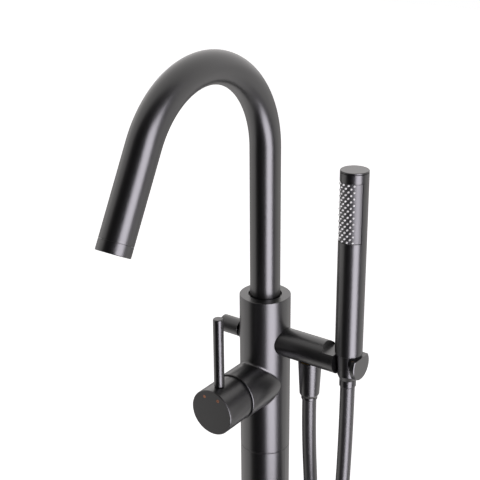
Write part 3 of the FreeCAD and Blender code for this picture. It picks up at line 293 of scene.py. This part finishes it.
def placed(name: str, data: bpy.types.ID) -> bpy.types.Object:
    """Put a new object in the scene.

    Args:
        name: the object's name.
        data: its mesh, curve, camera or lamp.

    Returns:
        The object.
    """
    made = bpy.data.objects.new(name, data)
    bpy.context.scene.collection.objects.link(made)
    return made


def baked(thing: bpy.types.Object, name: str) -> bpy.types.Mesh:
    """The plain mesh of an object with its modifiers applied; the object is removed.

    Args:
        thing: an object whose modifiers are live.
        name: the new mesh's name.

    Returns:
        The mesh.
    """
    bpy.context.view_layer.update()
    graph = bpy.context.evaluated_depsgraph_get()
    mesh = bpy.data.meshes.new_from_object(thing.evaluated_get(graph), depsgraph=graph)
    mesh.name = name
    bpy.data.objects.remove(thing)
    return mesh


def to_mesh(form: bmesh.types.BMesh, name: str) -> bpy.types.Mesh:
    """Turn an edited form into a mesh with smooth faces, whose sharp edges stay sharp.

    Args:
        form: the form, which is freed.
        name: the mesh's name.

    Returns:
        The mesh.
    """
    for face in form.faces:
        face.smooth = True
    mesh = bpy.data.meshes.new(name)
    form.to_mesh(mesh)
    form.free()
    mesh.set_sharp_from_angle(angle=SHARP_ANGLE)
    return mesh


def loft(rings: Sequence[Sequence[Vector]], name: str, closed: bool = False) -> bpy.types.Mesh:
    """Skin a row of rings of points, each with the same count.

    Args:
        rings: the rings in order.
        name: the mesh's name.
        closed: True where the last ring joins the first, False where both ends are filled.

    Returns:
        A closed mesh.
    """
    form = bmesh.new()
    rows = [[form.verts.new(point) for point in ring] for ring in rings]
    pairs = list(zip(rows, rows[1:]))
    if closed:
        pairs.append((rows[-1], rows[0]))
    for near, far in pairs:
        for index in range(len(near)):
            form.faces.new((near[index - 1], near[index], far[index], far[index - 1]))
    if not closed:
        form.faces.new(rows[0])
        form.faces.new(rows[-1])
    bmesh.ops.recalc_face_normals(form, faces=form.faces)
    return to_mesh(form, name)


class TrueNormals:
    """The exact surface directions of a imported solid, for copies whose edges are rounded."""

    reach = 0.00002
    likeness = math.cos(math.radians(4.0))

    def __init__(self, source: bpy.types.Mesh) -> None:
        """Index the faces and their corner directions.

        Args:
            source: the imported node's mesh.
        """
        self.places = [vertex.co.copy() for vertex in source.vertices]
        self.faces = [tuple(polygon.vertices) for polygon in source.polygons]
        self.corners = [[source.corner_normals[loop].vector.copy() for loop in polygon.loop_indices]
                        for polygon in source.polygons]
        self.tree = BVHTree.FromPolygons(self.places, self.faces)

    def at(self, place: Vector, normal: Vector) -> Vector | None:
        """The solid's own direction at a place on a face.

        Args:
            place: a corner of the face.
            normal: the face's direction.

        Returns:
            The direction, or None where no face there points the same way.
        """
        likely = [hit for hit in self.tree.find_nearest_range(place, self.reach)
                  if hit[1].dot(normal) > self.likeness]
        if not likely:
            return None
        index = max(likely, key=lambda hit: hit[1].dot(normal))[2]
        shares = poly_3d_calc([self.places[each] for each in self.faces[index]], place)
        total = Vector((0.0, 0.0, 0.0))
        for share, corner in zip(shares, self.corners[index]):
            total += corner * share
        return total.normalized()

    def dress(self, mesh: bpy.types.Mesh) -> None:
        """Give a rounded copy the solid's directions, which its roundings run into.

        Args:
            mesh: the copy.
        """
        normals = [Vector((0.0, 0.0, 0.0))] * len(mesh.loops)
        known: dict[int, list[Vector]] = {}
        rounding = []
        for polygon in mesh.polygons:
            for loop, vertex in zip(polygon.loop_indices, polygon.vertices):
                found = self.at(mesh.vertices[vertex].co, polygon.normal)
                if found is None:
                    rounding.append((loop, vertex, polygon.normal))
                else:
                    normals[loop] = found
                    known.setdefault(vertex, []).append(found)
        for loop, vertex, normal in rounding:
            if vertex in known:
                normals[loop] = max(known[vertex], key=normal.dot)
        mesh.normals_split_custom_set(normals)


@dataclass(frozen=True)
class Finish:
    """A surface with a fine relief and slow changes of gloss and colour.

    Lengths are in metres.  The relief is a noise of a given grain.  Cloud is how far the roughness
    wanders, shift is how far the colour does, and cloud_scale is how often they do in a metre.
    """

    slot: Slot
    colour: Point
    roughness: float
    metallic: float = 0.0
    grain: float = 0.0006
    relief: float = 0.000004
    cloud: float = 0.03
    shift: float = 0.10
    specular: float = 0.5
    cloud_scale: float = 14.0
    bump: float = 0.6

    def relief_height(self, graph: Graph, place: Wire) -> Wire:
        """The height of the fine relief, from 0 to 1."""
        return graph.add("ShaderNodeTexNoise", None, {
            "Vector": place, "Scale": 1.0 / self.grain, "Detail": 2.0, "Roughness": 0.5}, "Fac")

    def material(self) -> bpy.types.Material:
        """Build the material.

        Returns:
            A material named after its slot.
        """
        made = bpy.data.materials.new(self.slot.value)
        made.use_nodes = True
        graph = Graph(made.node_tree)
        place = graph.add("ShaderNodeTexCoord", None, None, "Object")
        slow = graph.add("ShaderNodeTexNoise", None, {
            "Vector": place, "Scale": self.cloud_scale, "Detail": 3.0, "Roughness": 0.6}, "Fac")
        height = self.relief_height(graph, place)
        rough = (slow - 0.5) * (2.0 * self.cloud) + self.roughness + (height - 0.5) * self.cloud
        darker = tuple(level * (1.0 - self.shift) for level in self.colour)
        lighter = tuple(min(1.0, level * (1.0 + self.shift)) for level in self.colour)
        colour = graph.add("ShaderNodeMix", {"data_type": "RGBA"}, {
            "Factor": slow, 6: (*darker, 1.0), 7: (*lighter, 1.0)}, 2)
        bump = graph.add("ShaderNodeBump", None, {
            "Height": height, "Strength": self.bump, "Distance": self.relief})
        surface = graph.add("ShaderNodeBsdfPrincipled", None, {
            "Base Color": colour, "Roughness": rough, "Metallic": self.metallic,
            "Specular IOR Level": self.specular, "Normal": bump})
        graph.add("ShaderNodeOutputMaterial", None, {"Surface": surface})
        return made


@dataclass(frozen=True)
class TurnedMetal(Finish):
    """Bare metal with shallow turned rings, which a scale of 125 puts 2.5 mm apart."""

    ring_scale: float = 125.0

    def relief_height(self, graph: Graph, place: Wire) -> Wire:
        """Rings across the part's height, bent by a little noise."""
        return graph.add("ShaderNodeTexWave", {"bands_direction": "Z"}, {
            "Vector": place, "Scale": self.ring_scale, "Distortion": 0.6, "Detail": 1.0}, "Fac")


FINISHES: tuple[Finish, ...] = (
    Finish(Slot.SATIN_BLACK, (0.0018, 0.0018, 0.0019), 0.315, grain=0.0007, relief=0.000006,
           cloud=0.025, specular=1.0),
    Finish(Slot.BLACK_SEAL, (0.010, 0.010, 0.010), 0.62, grain=0.0003, relief=0.000008),
    TurnedMetal(Slot.BRASS, (0.60, 0.42, 0.16), 0.30, 1.0),
    TurnedMetal(Slot.COPPER, (0.44, 0.19, 0.11), 0.36, 1.0),
    TurnedMetal(Slot.STEEL, (0.50, 0.50, 0.51), 0.34, 1.0),
    TurnedMetal(Slot.BLACK_STEEL, (0.045, 0.045, 0.048), 0.38, 1.0),
    Finish(Slot.CERAMIC, (0.78, 0.77, 0.73), 0.18, grain=0.0002, relief=0.000001),
    Finish(Slot.WHITE_PLASTIC, (0.72, 0.72, 0.69), 0.42),
    Finish(Slot.BLACK_PLASTIC, (0.022, 0.022, 0.023), 0.46, grain=0.0005, relief=0.000012,
           specular=1.0),
    Finish(Slot.HOSE_SKIN, (0.010, 0.0098, 0.010), 0.38, grain=0.0011, relief=0.000008,
           specular=1.0),
    Finish(Slot.NOZZLE_SILICONE, (0.78, 0.78, 0.77), 0.45, grain=0.0003, relief=0.000006),
)


class Workshop:
    """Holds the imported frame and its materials, and adds finished pieces to the scene."""

    merge_reach = 0.000002
    flat_angle = math.radians(0.2)
    edge_angle = math.radians(28.0)

    def __init__(self, frame: dict[str, Any]) -> None:
        """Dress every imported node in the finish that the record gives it.

        Args:
            frame: what the loader returned.
        """
        self.nodes: dict[str, bpy.types.Object] = frame["nodes"]
        self.finishes = {finish.slot.value: finish.material() for finish in FINISHES}
        self.slots: dict[str, str] = {}
        self.bodies: dict[str, str] = {}
        for part in frame["record"]["subparts"]:
            self.slots[part["node"]] = part["material_slot"]
            self.dress(self.nodes[part["node"]].data, part["material_slot"])
        for body, members in frame["record"]["behaviour"]["bodies"].items():
            for member in members:
                self.bodies[member] = body

    def dress(self, mesh: bpy.types.Mesh, slot: str) -> None:
        """Give a mesh one finish, in its only material slot."""
        mesh.materials.clear()
        mesh.materials.append(self.finishes[slot])

    def add(self, mesh: bpy.types.Mesh, name: str, body: str, slot: str,
            stands_for: Iterable[str] = ()) -> bpy.types.Object:
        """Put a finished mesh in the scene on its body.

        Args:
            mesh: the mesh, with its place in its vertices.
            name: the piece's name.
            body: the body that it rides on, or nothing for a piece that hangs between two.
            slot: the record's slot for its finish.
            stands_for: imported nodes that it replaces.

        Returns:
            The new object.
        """
        piece = placed(name, mesh)
        self.dress(mesh, slot)
        if body:
            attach(piece, body)
        for node in stands_for:
            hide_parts(node)
        LOG.info("%s on %s in %s, %d faces", name, body or "two bodies", slot, len(mesh.polygons))
        return piece

    def soften(self, node: str, width: float, extra: Sequence[bpy.types.Mesh] = ()) -> None:
        """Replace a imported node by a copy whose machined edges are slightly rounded.

        Args:
            node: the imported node.
            width: how wide the rounding is.
            extra: further closed meshes of the same piece.
        """
        form = bmesh.new()
        form.from_mesh(self.nodes[node].data)
        bmesh.ops.remove_doubles(form, verts=form.verts, dist=self.merge_reach)
        bmesh.ops.dissolve_limit(form, angle_limit=self.flat_angle, verts=form.verts,
                                 edges=form.edges, delimit=set())
        for face in form.faces:
            face.smooth = True
        mesh = bpy.data.meshes.new(node + "_plain")
        form.to_mesh(mesh)
        form.free()
        rounded = self.rounded(mesh, node + "_rounded", width)
        if extra:
            form = bmesh.new()
            for part in (rounded, *extra):
                form.from_mesh(part)
            form.to_mesh(rounded)
            form.free()
        TrueNormals(self.nodes[node].data).dress(rounded)
        self.add(rounded, node + "_rounded", self.bodies[node], self.slots[node], (node,))

    def rounded(self, mesh: bpy.types.Mesh, name: str, width: float) -> bpy.types.Mesh:
        """Round the sharp edges of a closed mesh.

        Args:
            mesh: the mesh.
            name: the new mesh's name.
            width: how wide the rounding is.

        Returns:
            The rounded mesh.
        """
        blank = placed(name + "_blank", mesh)
        bevel = blank.modifiers.new("edges", "BEVEL")
        bevel.width = width
        bevel.segments = 2
        bevel.limit_method = "ANGLE"
        bevel.angle_limit = self.edge_angle
        bevel.harden_normals = True
        bevel.use_clamp_overlap = True
        return baked(blank, name)


@dataclass
class Column:
    """The floor fixing and the column up to the mixer."""

    edge: float = 0.0003

    def build(self, shop: Workshop) -> None:
        """Soften the column's turned edges."""
        for node in ("standpipe", "column_joiner", "base_cover"):
            shop.soften(node, self.edge)


@dataclass
class Mixer:
    """The cast mixer body, with the soft blend where its knob housing grows out of the barrel."""

    barrel_radius: float = 0.025
    housing_radius: float = 0.0239
    blend_radius: float = 0.0028
    axis_height: float = 0.7595
    sunk: float = 0.0006
    edge: float = 0.0003
    stations: int = 144
    steps: int = 9

    def build(self, shop: Workshop) -> None:
        """Soften the casting's edges and lay the blend in its corner.

        Args:
            shop: what dresses and adds the pieces.
        """
        shop.soften("mixer_body", self.edge, (self.blend(),))
        for node in ("diverter_bonnet", "diverter_knob"):
            shop.soften(node, self.edge)

    def blend(self) -> bpy.types.Mesh:
        """The strip that a ball leaves as it rolls in the corner between the two cylinders.

        Returns:
            A closed ring that is sunk a little into both cylinders.
        """
        reach = self.barrel_radius + self.blend_radius
        around = self.housing_radius + self.blend_radius
        rings = []
        for station in range(self.stations):
            turn = math.tau * station / self.stations
            side, rise = math.cos(turn), math.sin(turn)
            across = around * side
            centre = Vector((across, -math.sqrt(reach * reach - across * across),
                             self.axis_height + around * rise))
            on_housing = Vector((self.housing_radius * side, centre.y,
                                 self.axis_height + self.housing_radius * rise))
            on_barrel = Vector((centre.x, centre.y, 0.0)) * (self.barrel_radius / reach)
            on_barrel.z = centre.z
            first = (on_housing - centre).normalized()
            last = (on_barrel - centre).normalized()
            ring = [centre + first.slerp(last, step / self.steps) * self.blend_radius
                    for step in range(self.steps + 1)]
            into_housing = Vector((-side, 0.0, -rise)) * self.sunk
            into_barrel = -Vector((on_barrel.x, on_barrel.y, 0.0)).normalized() * self.sunk
            corner = Vector((self.housing_radius * side,
                             -math.sqrt(self.barrel_radius ** 2
                                        - (self.housing_radius * side) ** 2),
                             self.axis_height + self.housing_radius * rise))
            ring += [on_barrel + into_barrel, corner + into_barrel + into_housing,
                     on_housing + into_housing]
            rings.append(ring)
        return loft(rings, "housing_blend", closed=True)


@dataclass
class Knob:
    """The knob cap and its upright lever."""

    edge: float = 0.00035

    def build(self, shop: Workshop) -> None:
        """Soften the turned edges."""
        for node in ("knob_cap", "lever_pin"):
            shop.soften(node, self.edge)


@dataclass
class Spout:
    """The swan neck, swept along a rise, a bend and a leg, with its aerator housing."""

    radius: float = 0.01465
    wall: float = 0.0025
    foot: float = 0.824
    bend_start: float = 0.997
    bend_radius: float = 0.0883
    bend_angle: float = math.radians(152.1)
    leg: float = 0.0792
    sides: int = 72
    points: int = 260
    edge: float = 0.00015

    def path(self, recipe: Recipe) -> Wire:
        """The tube's middle line, from its foot in the socket to the aerator's seam.

        Args:
            recipe: the tree that gets the nodes.

        Returns:
            The line.
        """
        rise = recipe.number("Rise", self.bend_start - self.foot)
        radius = recipe.number("Bend radius", self.bend_radius)
        angle = recipe.number("Bend angle", self.bend_angle)
        leg = recipe.number("Leg", self.leg)
        line = recipe.add("GeometryNodeCurvePrimitiveLine", None, {
            "Start": (0.0, 0.0, 0.0), "End": (0.0, 0.0, 1.0)})
        line = recipe.add("GeometryNodeResampleCurve", None, {
            "Curve": line, "Count": recipe.whole("Points", self.points)})
        share = recipe.add("GeometryNodeSplineParameter", None, None, "Factor")
        along = share * (rise + radius * angle + leg)
        upright = along.at_most(rise)
        turned = ((along - rise) / radius).at_least(0.0).at_most(angle)
        left = (along - rise - radius * angle).at_least(0.0)
        forward = radius * (1.0 - turned.cosine()) + left * angle.sine()
        height = upright + radius * turned.sine() + left * angle.cosine()
        return recipe.add("GeometryNodeSetPosition", None, {
            "Geometry": line, "Position": recipe.place(0.0, forward * -1.0, height + self.foot)})

    def build(self, shop: Workshop) -> None:
        """Sweep the tube, give it its wall, and soften the aerator housing's edges.

        Args:
            shop: what dresses and adds the pieces.
        """
        recipe = Recipe("spout_sweep")
        section = recipe.add("GeometryNodeCurvePrimitiveCircle", None, {
            "Resolution": recipe.whole("Sides", self.sides),
            "Radius": recipe.number("Tube radius", self.radius)})
        tube = recipe.add("GeometryNodeCurveToMesh", None, {
            "Curve": self.path(recipe), "Profile Curve": section})
        skin = recipe.mesh(tube, shop.finishes[Slot.SATIN_BLACK.value])
        blank = placed("spout_blank", self.outward(skin))
        wall = blank.modifiers.new("wall", "SOLIDIFY")
        wall.thickness = self.wall
        wall.offset = -1.0
        wall.use_even_offset = True
        tube_mesh = baked(blank, "spout_walls")
        for polygon in tube_mesh.polygons:
            polygon.use_smooth = True
        rounded = shop.rounded(tube_mesh, "spout_swept", self.edge)
        shop.add(rounded, "spout_swept", Body.SPOUT.value, Slot.SATIN_BLACK.value, ("spout_tube",))
        shop.soften("aerator_housing", self.edge)

    @staticmethod
    def outward(mesh: bpy.types.Mesh) -> bpy.types.Mesh:
        """Turn an open tube's faces to point away from its middle line.

        Args:
            mesh: a swept tube that rises along +Z at its foot.

        Returns:
            The same mesh.
        """
        form = bmesh.new()
        form.from_mesh(mesh)
        bmesh.ops.recalc_face_normals(form, faces=form.faces)
        form.faces.ensure_lookup_table()
        face = min(form.faces, key=lambda each: each.calc_center_median().z)
        middle = face.calc_center_median()
        if face.normal.dot(Vector((middle.x, middle.y, 0.0))) < 0.0:
            bmesh.ops.reverse_faces(form, faces=form.faces)
        form.to_mesh(mesh)
        form.free()
        return mesh


@dataclass
class Arm:
    """The side arm with its notched cradle, and the nuts and ferrules at both ends of the hose."""

    edge: float = 0.0003

    def build(self, shop: Workshop) -> None:
        """Soften the arm's milled edges and those of the nuts and ferrules."""
        for node in ("handset_arm", "outlet_hose_nut", "outlet_hose_ferrule",
                     "handset_hose_nut", "handset_hose_ferrule"):
            shop.soften(node, self.edge)


@dataclass
class SprayFace:
    """The curved pad behind the spray panel, with its staggered rows of domed nubs."""

    axis: Point = (0.095, 0.0, 0.0)
    low: float = 0.92850
    pitch: float = 0.00585
    columns: int = 7
    rows: int = 10
    column_angle: float = math.radians(11.7)
    facing: float = math.radians(4.5)
    nub_radius: float = 0.00088
    nub_reach: float = 0.01395
    nub_root: float = 0.0108
    nub_sides: int = 14
    nub_dome: Stops = ((1.0, 0.75), (0.94, 0.40), (0.76, 0.12), (0.52, 0.0), (0.34, 0.10),
                       (0.26, 0.45))
    pad_inner: float = 0.01022
    pad_outer: float = 0.01146
    pad_margin: float = 0.0020
    pad_half_angle: float = math.radians(68.0)
    pad_steps: int = 40

    def nub(self) -> bpy.types.Mesh:
        """One nub, turned about +Z from its root: a round peg, domed, with a dimple for its jet.

        The dome's pairs are the distance from the nub's axis and the depth below its tip, both as
        shares of the nub's radius.

        Returns:
            A closed mesh.
        """
        length = self.nub_reach - self.nub_root
        profile = [(self.nub_radius, 0.0)]
        profile += [(self.nub_radius * out, length - self.nub_radius * down)
                    for out, down in self.nub_dome]
        turns = [math.tau * side / self.nub_sides for side in range(self.nub_sides)]
        rings = [[Vector((reach * math.cos(turn), reach * math.sin(turn), height))
                  for turn in turns] for reach, height in profile]
        return loft(rings, "spray_nub")

    def pad(self) -> bpy.types.Mesh:
        """The curved plate that carries the nubs, behind the panel.

        Returns:
            A closed mesh.
        """
        low = self.low - self.pad_margin
        high = self.low + self.pitch * (self.rows - 1) + self.pad_margin
        rings = []
        for step in range(self.pad_steps + 1):
            turn = self.pad_half_angle * (2.0 * step / self.pad_steps - 1.0) - self.facing
            out = Vector((math.sin(turn), -math.cos(turn), 0.0))
            rings.append([Vector(self.axis) + out * reach + Vector((0.0, 0.0, height))
                          for reach, height in ((self.pad_inner, low), (self.pad_outer, low),
                                                (self.pad_outer, high), (self.pad_inner, high))])
        return loft(rings, "spray_pad")

    def build(self, shop: Workshop) -> None:
        """Set a nub on every staggered place, and join them with the pad.

        Args:
            shop: what dresses and adds the pieces.
        """
        seed = bpy.data.objects.new("spray_nub", self.nub())
        recipe = Recipe("spray_nubs")
        rows = recipe.whole("Rows", self.rows)
        columns = recipe.whole("Columns", self.columns)
        pitch = recipe.number("Pitch", self.pitch)
        step = recipe.number("Column angle", self.column_angle)
        root = recipe.number("Root radius", self.nub_root)
        source = recipe.given("Nub", "NodeSocketObject", seed)
        index = recipe.add("GeometryNodeInputIndex")
        column = (index / rows).floor()
        row = index - column * rows
        shifted = column % 2.0
        turn = (column - (columns - 1.0) / 2.0) * step - self.facing
        place = recipe.place(turn.sine() * root + self.axis[0],
                             turn.cosine() * root * -1.0,
                             (row + shifted / 2.0) * pitch + self.low)
        spots = recipe.add("GeometryNodePoints", None, {
            "Count": rows * columns, "Position": place})
        spare = row.combined("GREATER_THAN", row + shifted, rows - 0.5)
        spots = recipe.add("GeometryNodeDeleteGeometry", {"domain": "POINT"}, {
            "Geometry": spots, "Selection": spare})
        where = recipe.add("GeometryNodeInputPosition")
        outward = recipe.add("ShaderNodeVectorMath", {"operation": "SUBTRACT"}, {
            0: where, 1: self.axis})
        outward = recipe.add("ShaderNodeVectorMath", {"operation": "MULTIPLY"}, {
            0: outward, 1: (1.0, 1.0, 0.0)})
        aim = recipe.add("FunctionNodeAlignRotationToVector", {"axis": "Z"}, {"Vector": outward})
        nub = recipe.add("GeometryNodeObjectInfo", None, {"Object": source}, "Geometry")
        nubs = recipe.add("GeometryNodeInstanceOnPoints", None, {
            "Points": spots, "Instance": nub, "Rotation": aim})
        made = recipe.mesh(nubs, shop.finishes[Slot.NOZZLE_SILICONE.value])
        bpy.data.objects.remove(seed)
        form = bmesh.new()
        form.from_mesh(made)
        form.from_mesh(self.pad())
        shop.add(to_mesh(form, "spray_pad_nubs"), "spray_pad_nubs", Body.HANDSET.value,
                 Slot.NOZZLE_SILICONE.value, ("nozzle_pad",))


@dataclass
class Handset:
    """The slim hand shower with its spray face."""

    edge: float = 0.0003
    panel_edge: float = 0.0001

    def build(self, shop: Workshop) -> None:
        """Soften the turned edges and build the spray face.

        Args:
            shop: what dresses and adds the pieces.
        """
        for node in ("handset_body", "handset_top_cap"):
            shop.soften(node, self.edge)
        shop.soften("spray_panel", self.panel_edge)
        SprayFace().build(shop)


@dataclass
class Hose:
    """The hose that hangs from the outlet, round its low bend and up into the hand shower."""

    diameter: float = 0.014
    length: float = 1.506
    sides: int = 28
    order: int = 3
    fineness: int = 14
    start: Point = (0.0527, 0.0, 0.7513)
    end: Point = (0.095, 0.0, 0.779)
    route: tuple[Point, ...] = (
        (0.0527, 0.0, 0.711), (0.0527, 0.0065, 0.640), (0.0505, 0.020, 0.500),
        (0.0475, 0.037, 0.380), (0.0435, 0.057, 0.260), (0.041, 0.069, 0.172),
        (0.0415, 0.0695, 0.115), (0.053, 0.043, 0.074), (0.072, -0.0015, 0.058),
        (0.092, -0.046, 0.074), (0.1035, -0.073, 0.115), (0.104, -0.074, 0.170),
        (0.102, -0.067, 0.260), (0.0995, -0.053, 0.380), (0.097, -0.032, 0.500),
        (0.0952, -0.010, 0.600), (0.095, 0.0, 0.712))
    follow_from: float = 0.060
    follow_to: float = 0.092

    def line(self) -> list[Vector]:
        """The smooth line through the route.

        Returns:
            Its points in order, close together.
        """
        data = bpy.data.curves.new("hose_line", "CURVE")
        data.dimensions = "3D"
        data.resolution_u = self.fineness
        spline = data.splines.new("NURBS")
        places = (self.start, *self.route, self.end)
        spline.points.add(len(places) - 1)
        for point, place in zip(spline.points, places):
            point.co = (*place, 1.0)
        spline.order_u = self.order
        spline.use_endpoint_u = True
        mesh = baked(placed("hose_line", data), "hose_points")
        return [vertex.co.copy() for vertex in mesh.vertices]

    def build(self, shop: Workshop) -> None:
        """Sweep the hose along its line, from the outlet to the hand shower, and leave it on no
        body.

        Args:
            shop: what dresses and adds the pieces.
        """
        points = self.line()
        rings = []
        normal = Vector((1.0, 0.0, 0.0))
        for index, point in enumerate(points):
            before, after = points[max(0, index - 1)], points[min(len(points) - 1, index + 1)]
            tangent = (after - before).normalized()
            normal = (normal - tangent * normal.dot(tangent)).normalized()
            side = tangent.cross(normal)
            rings.append([point + (normal * math.cos(math.tau * each / self.sides)
                                   + side * math.sin(math.tau * each / self.sides))
                          * (self.diameter / 2.0) for each in range(self.sides)])
        hose = shop.add(loft(rings, "hose_swept"), "hose_swept", "", Slot.HOSE_SKIN.value,
                        ("shower_hose",))
        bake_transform(hose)


@dataclass(frozen=True)
class Softbox:
    """A rectangular lamp that faces the object's middle.

    Azimuth is in degrees from the spout's side towards the arm's side, elevation in degrees above
    the middle, power in watts.  Lights says whether it lights surfaces, shines whether they
    reflect it.
    """

    name: str
    azimuth: float
    elevation: float
    distance: float
    width: float
    height: float
    power: float
    lights: bool = True
    shines: bool = True


@dataclass
class Studio:
    """The camera at the photograph's place, a pale floor and plain soft light."""

    camera_place: Point = (0.51806, -0.74348, 1.25837)
    camera_line: Point = (-0.552814, 0.750176, -0.362812)
    camera_up: Point = (-0.208101, 0.297312, 0.931826)
    lens: float = 76.55
    sensor: float = 36.0
    clip: tuple[float, float] = (0.05, 60.0)
    floor_size: float = 14.0
    floor_level: float = 0.86
    floor_roughness: float = 0.9
    floor_seen: float = 0.72
    middle: Point = (0.0, -0.05, 0.9)
    lamp_colour: Point = (0.95, 0.91, 1.0)
    fill: float = 0.40
    room_colour: Point = (1.0, 0.975, 0.97)
    low_room: Stops = ((0.0, 0.0), (0.33, 0.0), (0.43, 1.0), (0.72, 1.0), (1.0, 0.35))
    high_room: Stops = ((0.0, 0.0), (0.33, 0.0), (0.43, 0.95), (1.0, 1.5))
    horizon: Stops = ((0.45, 0.0), (0.55, 1.0))
    softboxes: tuple[Softbox, ...] = (
        Softbox("right_softbox_shine", azimuth=68.0, elevation=-5.0, distance=0.85, width=0.62,
                height=1.60, power=24.0, lights=False),
        Softbox("right_softbox_glow", azimuth=68.0, elevation=12.0, distance=1.2, width=0.9,
                height=1.6, power=13.0, shines=False))

    def build(self) -> None:
        """Make the camera first, then the floor, the lamps and the world."""
        self.camera()
        self.floor()
        self.world()
        for softbox in self.softboxes:
            self.hang(softbox)
        bpy.context.scene.view_settings.view_transform = "Standard"

    def camera(self) -> None:
        """The camera, where the outlines in the photograph put it."""
        data = bpy.data.cameras.new("camera")
        data.lens = self.lens
        data.sensor_width = self.sensor
        data.clip_start, data.clip_end = self.clip
        eye = placed("camera", data)
        eye.location = self.camera_place
        line, up = Vector(self.camera_line).normalized(), Vector(self.camera_up)
        right = line.cross(up).normalized()
        turned = Matrix((right, right.cross(line), -line)).transposed()
        eye.rotation_mode = "QUATERNION"
        eye.rotation_quaternion = turned.to_quaternion()
        bpy.context.scene.camera = eye

    def floor(self) -> None:
        """A pale floor that keeps the object's shadow and that the object doesn't reflect."""
        form = bmesh.new()
        bmesh.ops.create_grid(form, x_segments=1, y_segments=1, size=self.floor_size / 2)
        mesh = bpy.data.meshes.new("floor")
        form.to_mesh(mesh)
        form.free()
        made = bpy.data.materials.new("floor_paint")
        made.use_nodes = True
        graph = Graph(made.node_tree)
        seen = graph.add("ShaderNodeLightPath", None, None, "Is Camera Ray")
        paint = graph.add("ShaderNodeBsdfPrincipled", None, {
            "Base Color": (*[self.floor_level] * 3, 1.0), "Roughness": self.floor_roughness,
            "Emission Color": (1.0, 1.0, 1.0, 1.0), "Emission Strength": seen * self.floor_seen})
        graph.add("ShaderNodeOutputMaterial", None, {"Surface": paint})
        mesh.materials.append(made)
        ground = placed("floor", mesh)
        ground.visible_glossy = False

    def world(self) -> None:
        """White to the camera, and one plain level where it lights a surface.

        What the object reflects is white behind it and dark in front of it, brighter high up.
        """
        world = bpy.data.worlds.new("studio")
        world.use_nodes = True
        bpy.context.scene.world = world
        graph = Graph(world.node_tree)
        away = Vector((self.camera_line[0], self.camera_line[1], 0.0)).normalized()
        direction = graph.add("ShaderNodeTexCoord", None, None, "Generated")
        behind = graph.add("ShaderNodeVectorMath", {"operation": "DOT_PRODUCT"}, {
            0: direction, 1: tuple(away)}, "Value")
        rise = graph.add("ShaderNodeSeparateXYZ", None, {"Vector": direction}, "Z")
        low = graph.ramp(behind * 0.5 + 0.5, self.low_room)
        high = graph.ramp(behind * 0.5 + 0.5, self.high_room)
        level = low + (high - low) * graph.ramp(rise * 0.5 + 0.5, self.horizon)
        eye = graph.add("ShaderNodeLightPath", None, None, "Is Camera Ray")
        soft = graph.add("ShaderNodeLightPath", None, None, "Is Diffuse Ray")
        seen = graph.add("ShaderNodeMix", {"data_type": "FLOAT"}, {
            "Factor": eye, 2: level, 3: 1.0}, 0)
        strength = graph.add("ShaderNodeMix", {"data_type": "FLOAT"}, {
            "Factor": soft, 2: seen, 3: self.fill}, 0)
        colour = graph.add("ShaderNodeMix", {"data_type": "RGBA"}, {
            "Factor": eye, 6: (*self.room_colour, 1.0), 7: (1.0, 1.0, 1.0, 1.0)}, 2)
        light = graph.add("ShaderNodeBackground", None, {"Color": colour, "Strength": strength})
        graph.add("ShaderNodeOutputWorld", None, {"Surface": light})

    def hang(self, box: Softbox) -> None:
        """Add a softbox, hidden from the camera.

        Args:
            box: its place, size and power.
        """
        data = bpy.data.lights.new(box.name, "AREA")
        data.shape = "RECTANGLE"
        data.size, data.size_y = box.width, box.height
        data.energy = box.power
        data.color = self.lamp_colour
        lamp = placed(box.name, data)
        turn, rise = math.radians(box.azimuth), math.radians(box.elevation)
        out = Vector((math.sin(turn) * math.cos(rise), -math.cos(turn) * math.cos(rise),
                      math.sin(rise)))
        lamp.location = Vector(self.middle) + out * box.distance
        lamp.rotation_mode = "QUATERNION"
        lamp.rotation_quaternion = (-out).to_track_quat("-Z", "Y")
        lamp.visible_camera = False
        lamp.visible_diffuse = box.lights
        lamp.visible_glossy = box.shines


def main() -> None:
    """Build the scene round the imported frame, one sub-assembly at a time."""
    logging.basicConfig(level=logging.INFO, format="%(message)s")
    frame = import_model()
    Studio().build()
    shop = Workshop(frame)
    for part in (Hose(), Column(), Mixer(), Knob(), Spout(), Arm(), Handset()):
        LOG.info("building %s", type(part).__name__)
        part.build(shop)


if __name__ == "__main__":
    main()
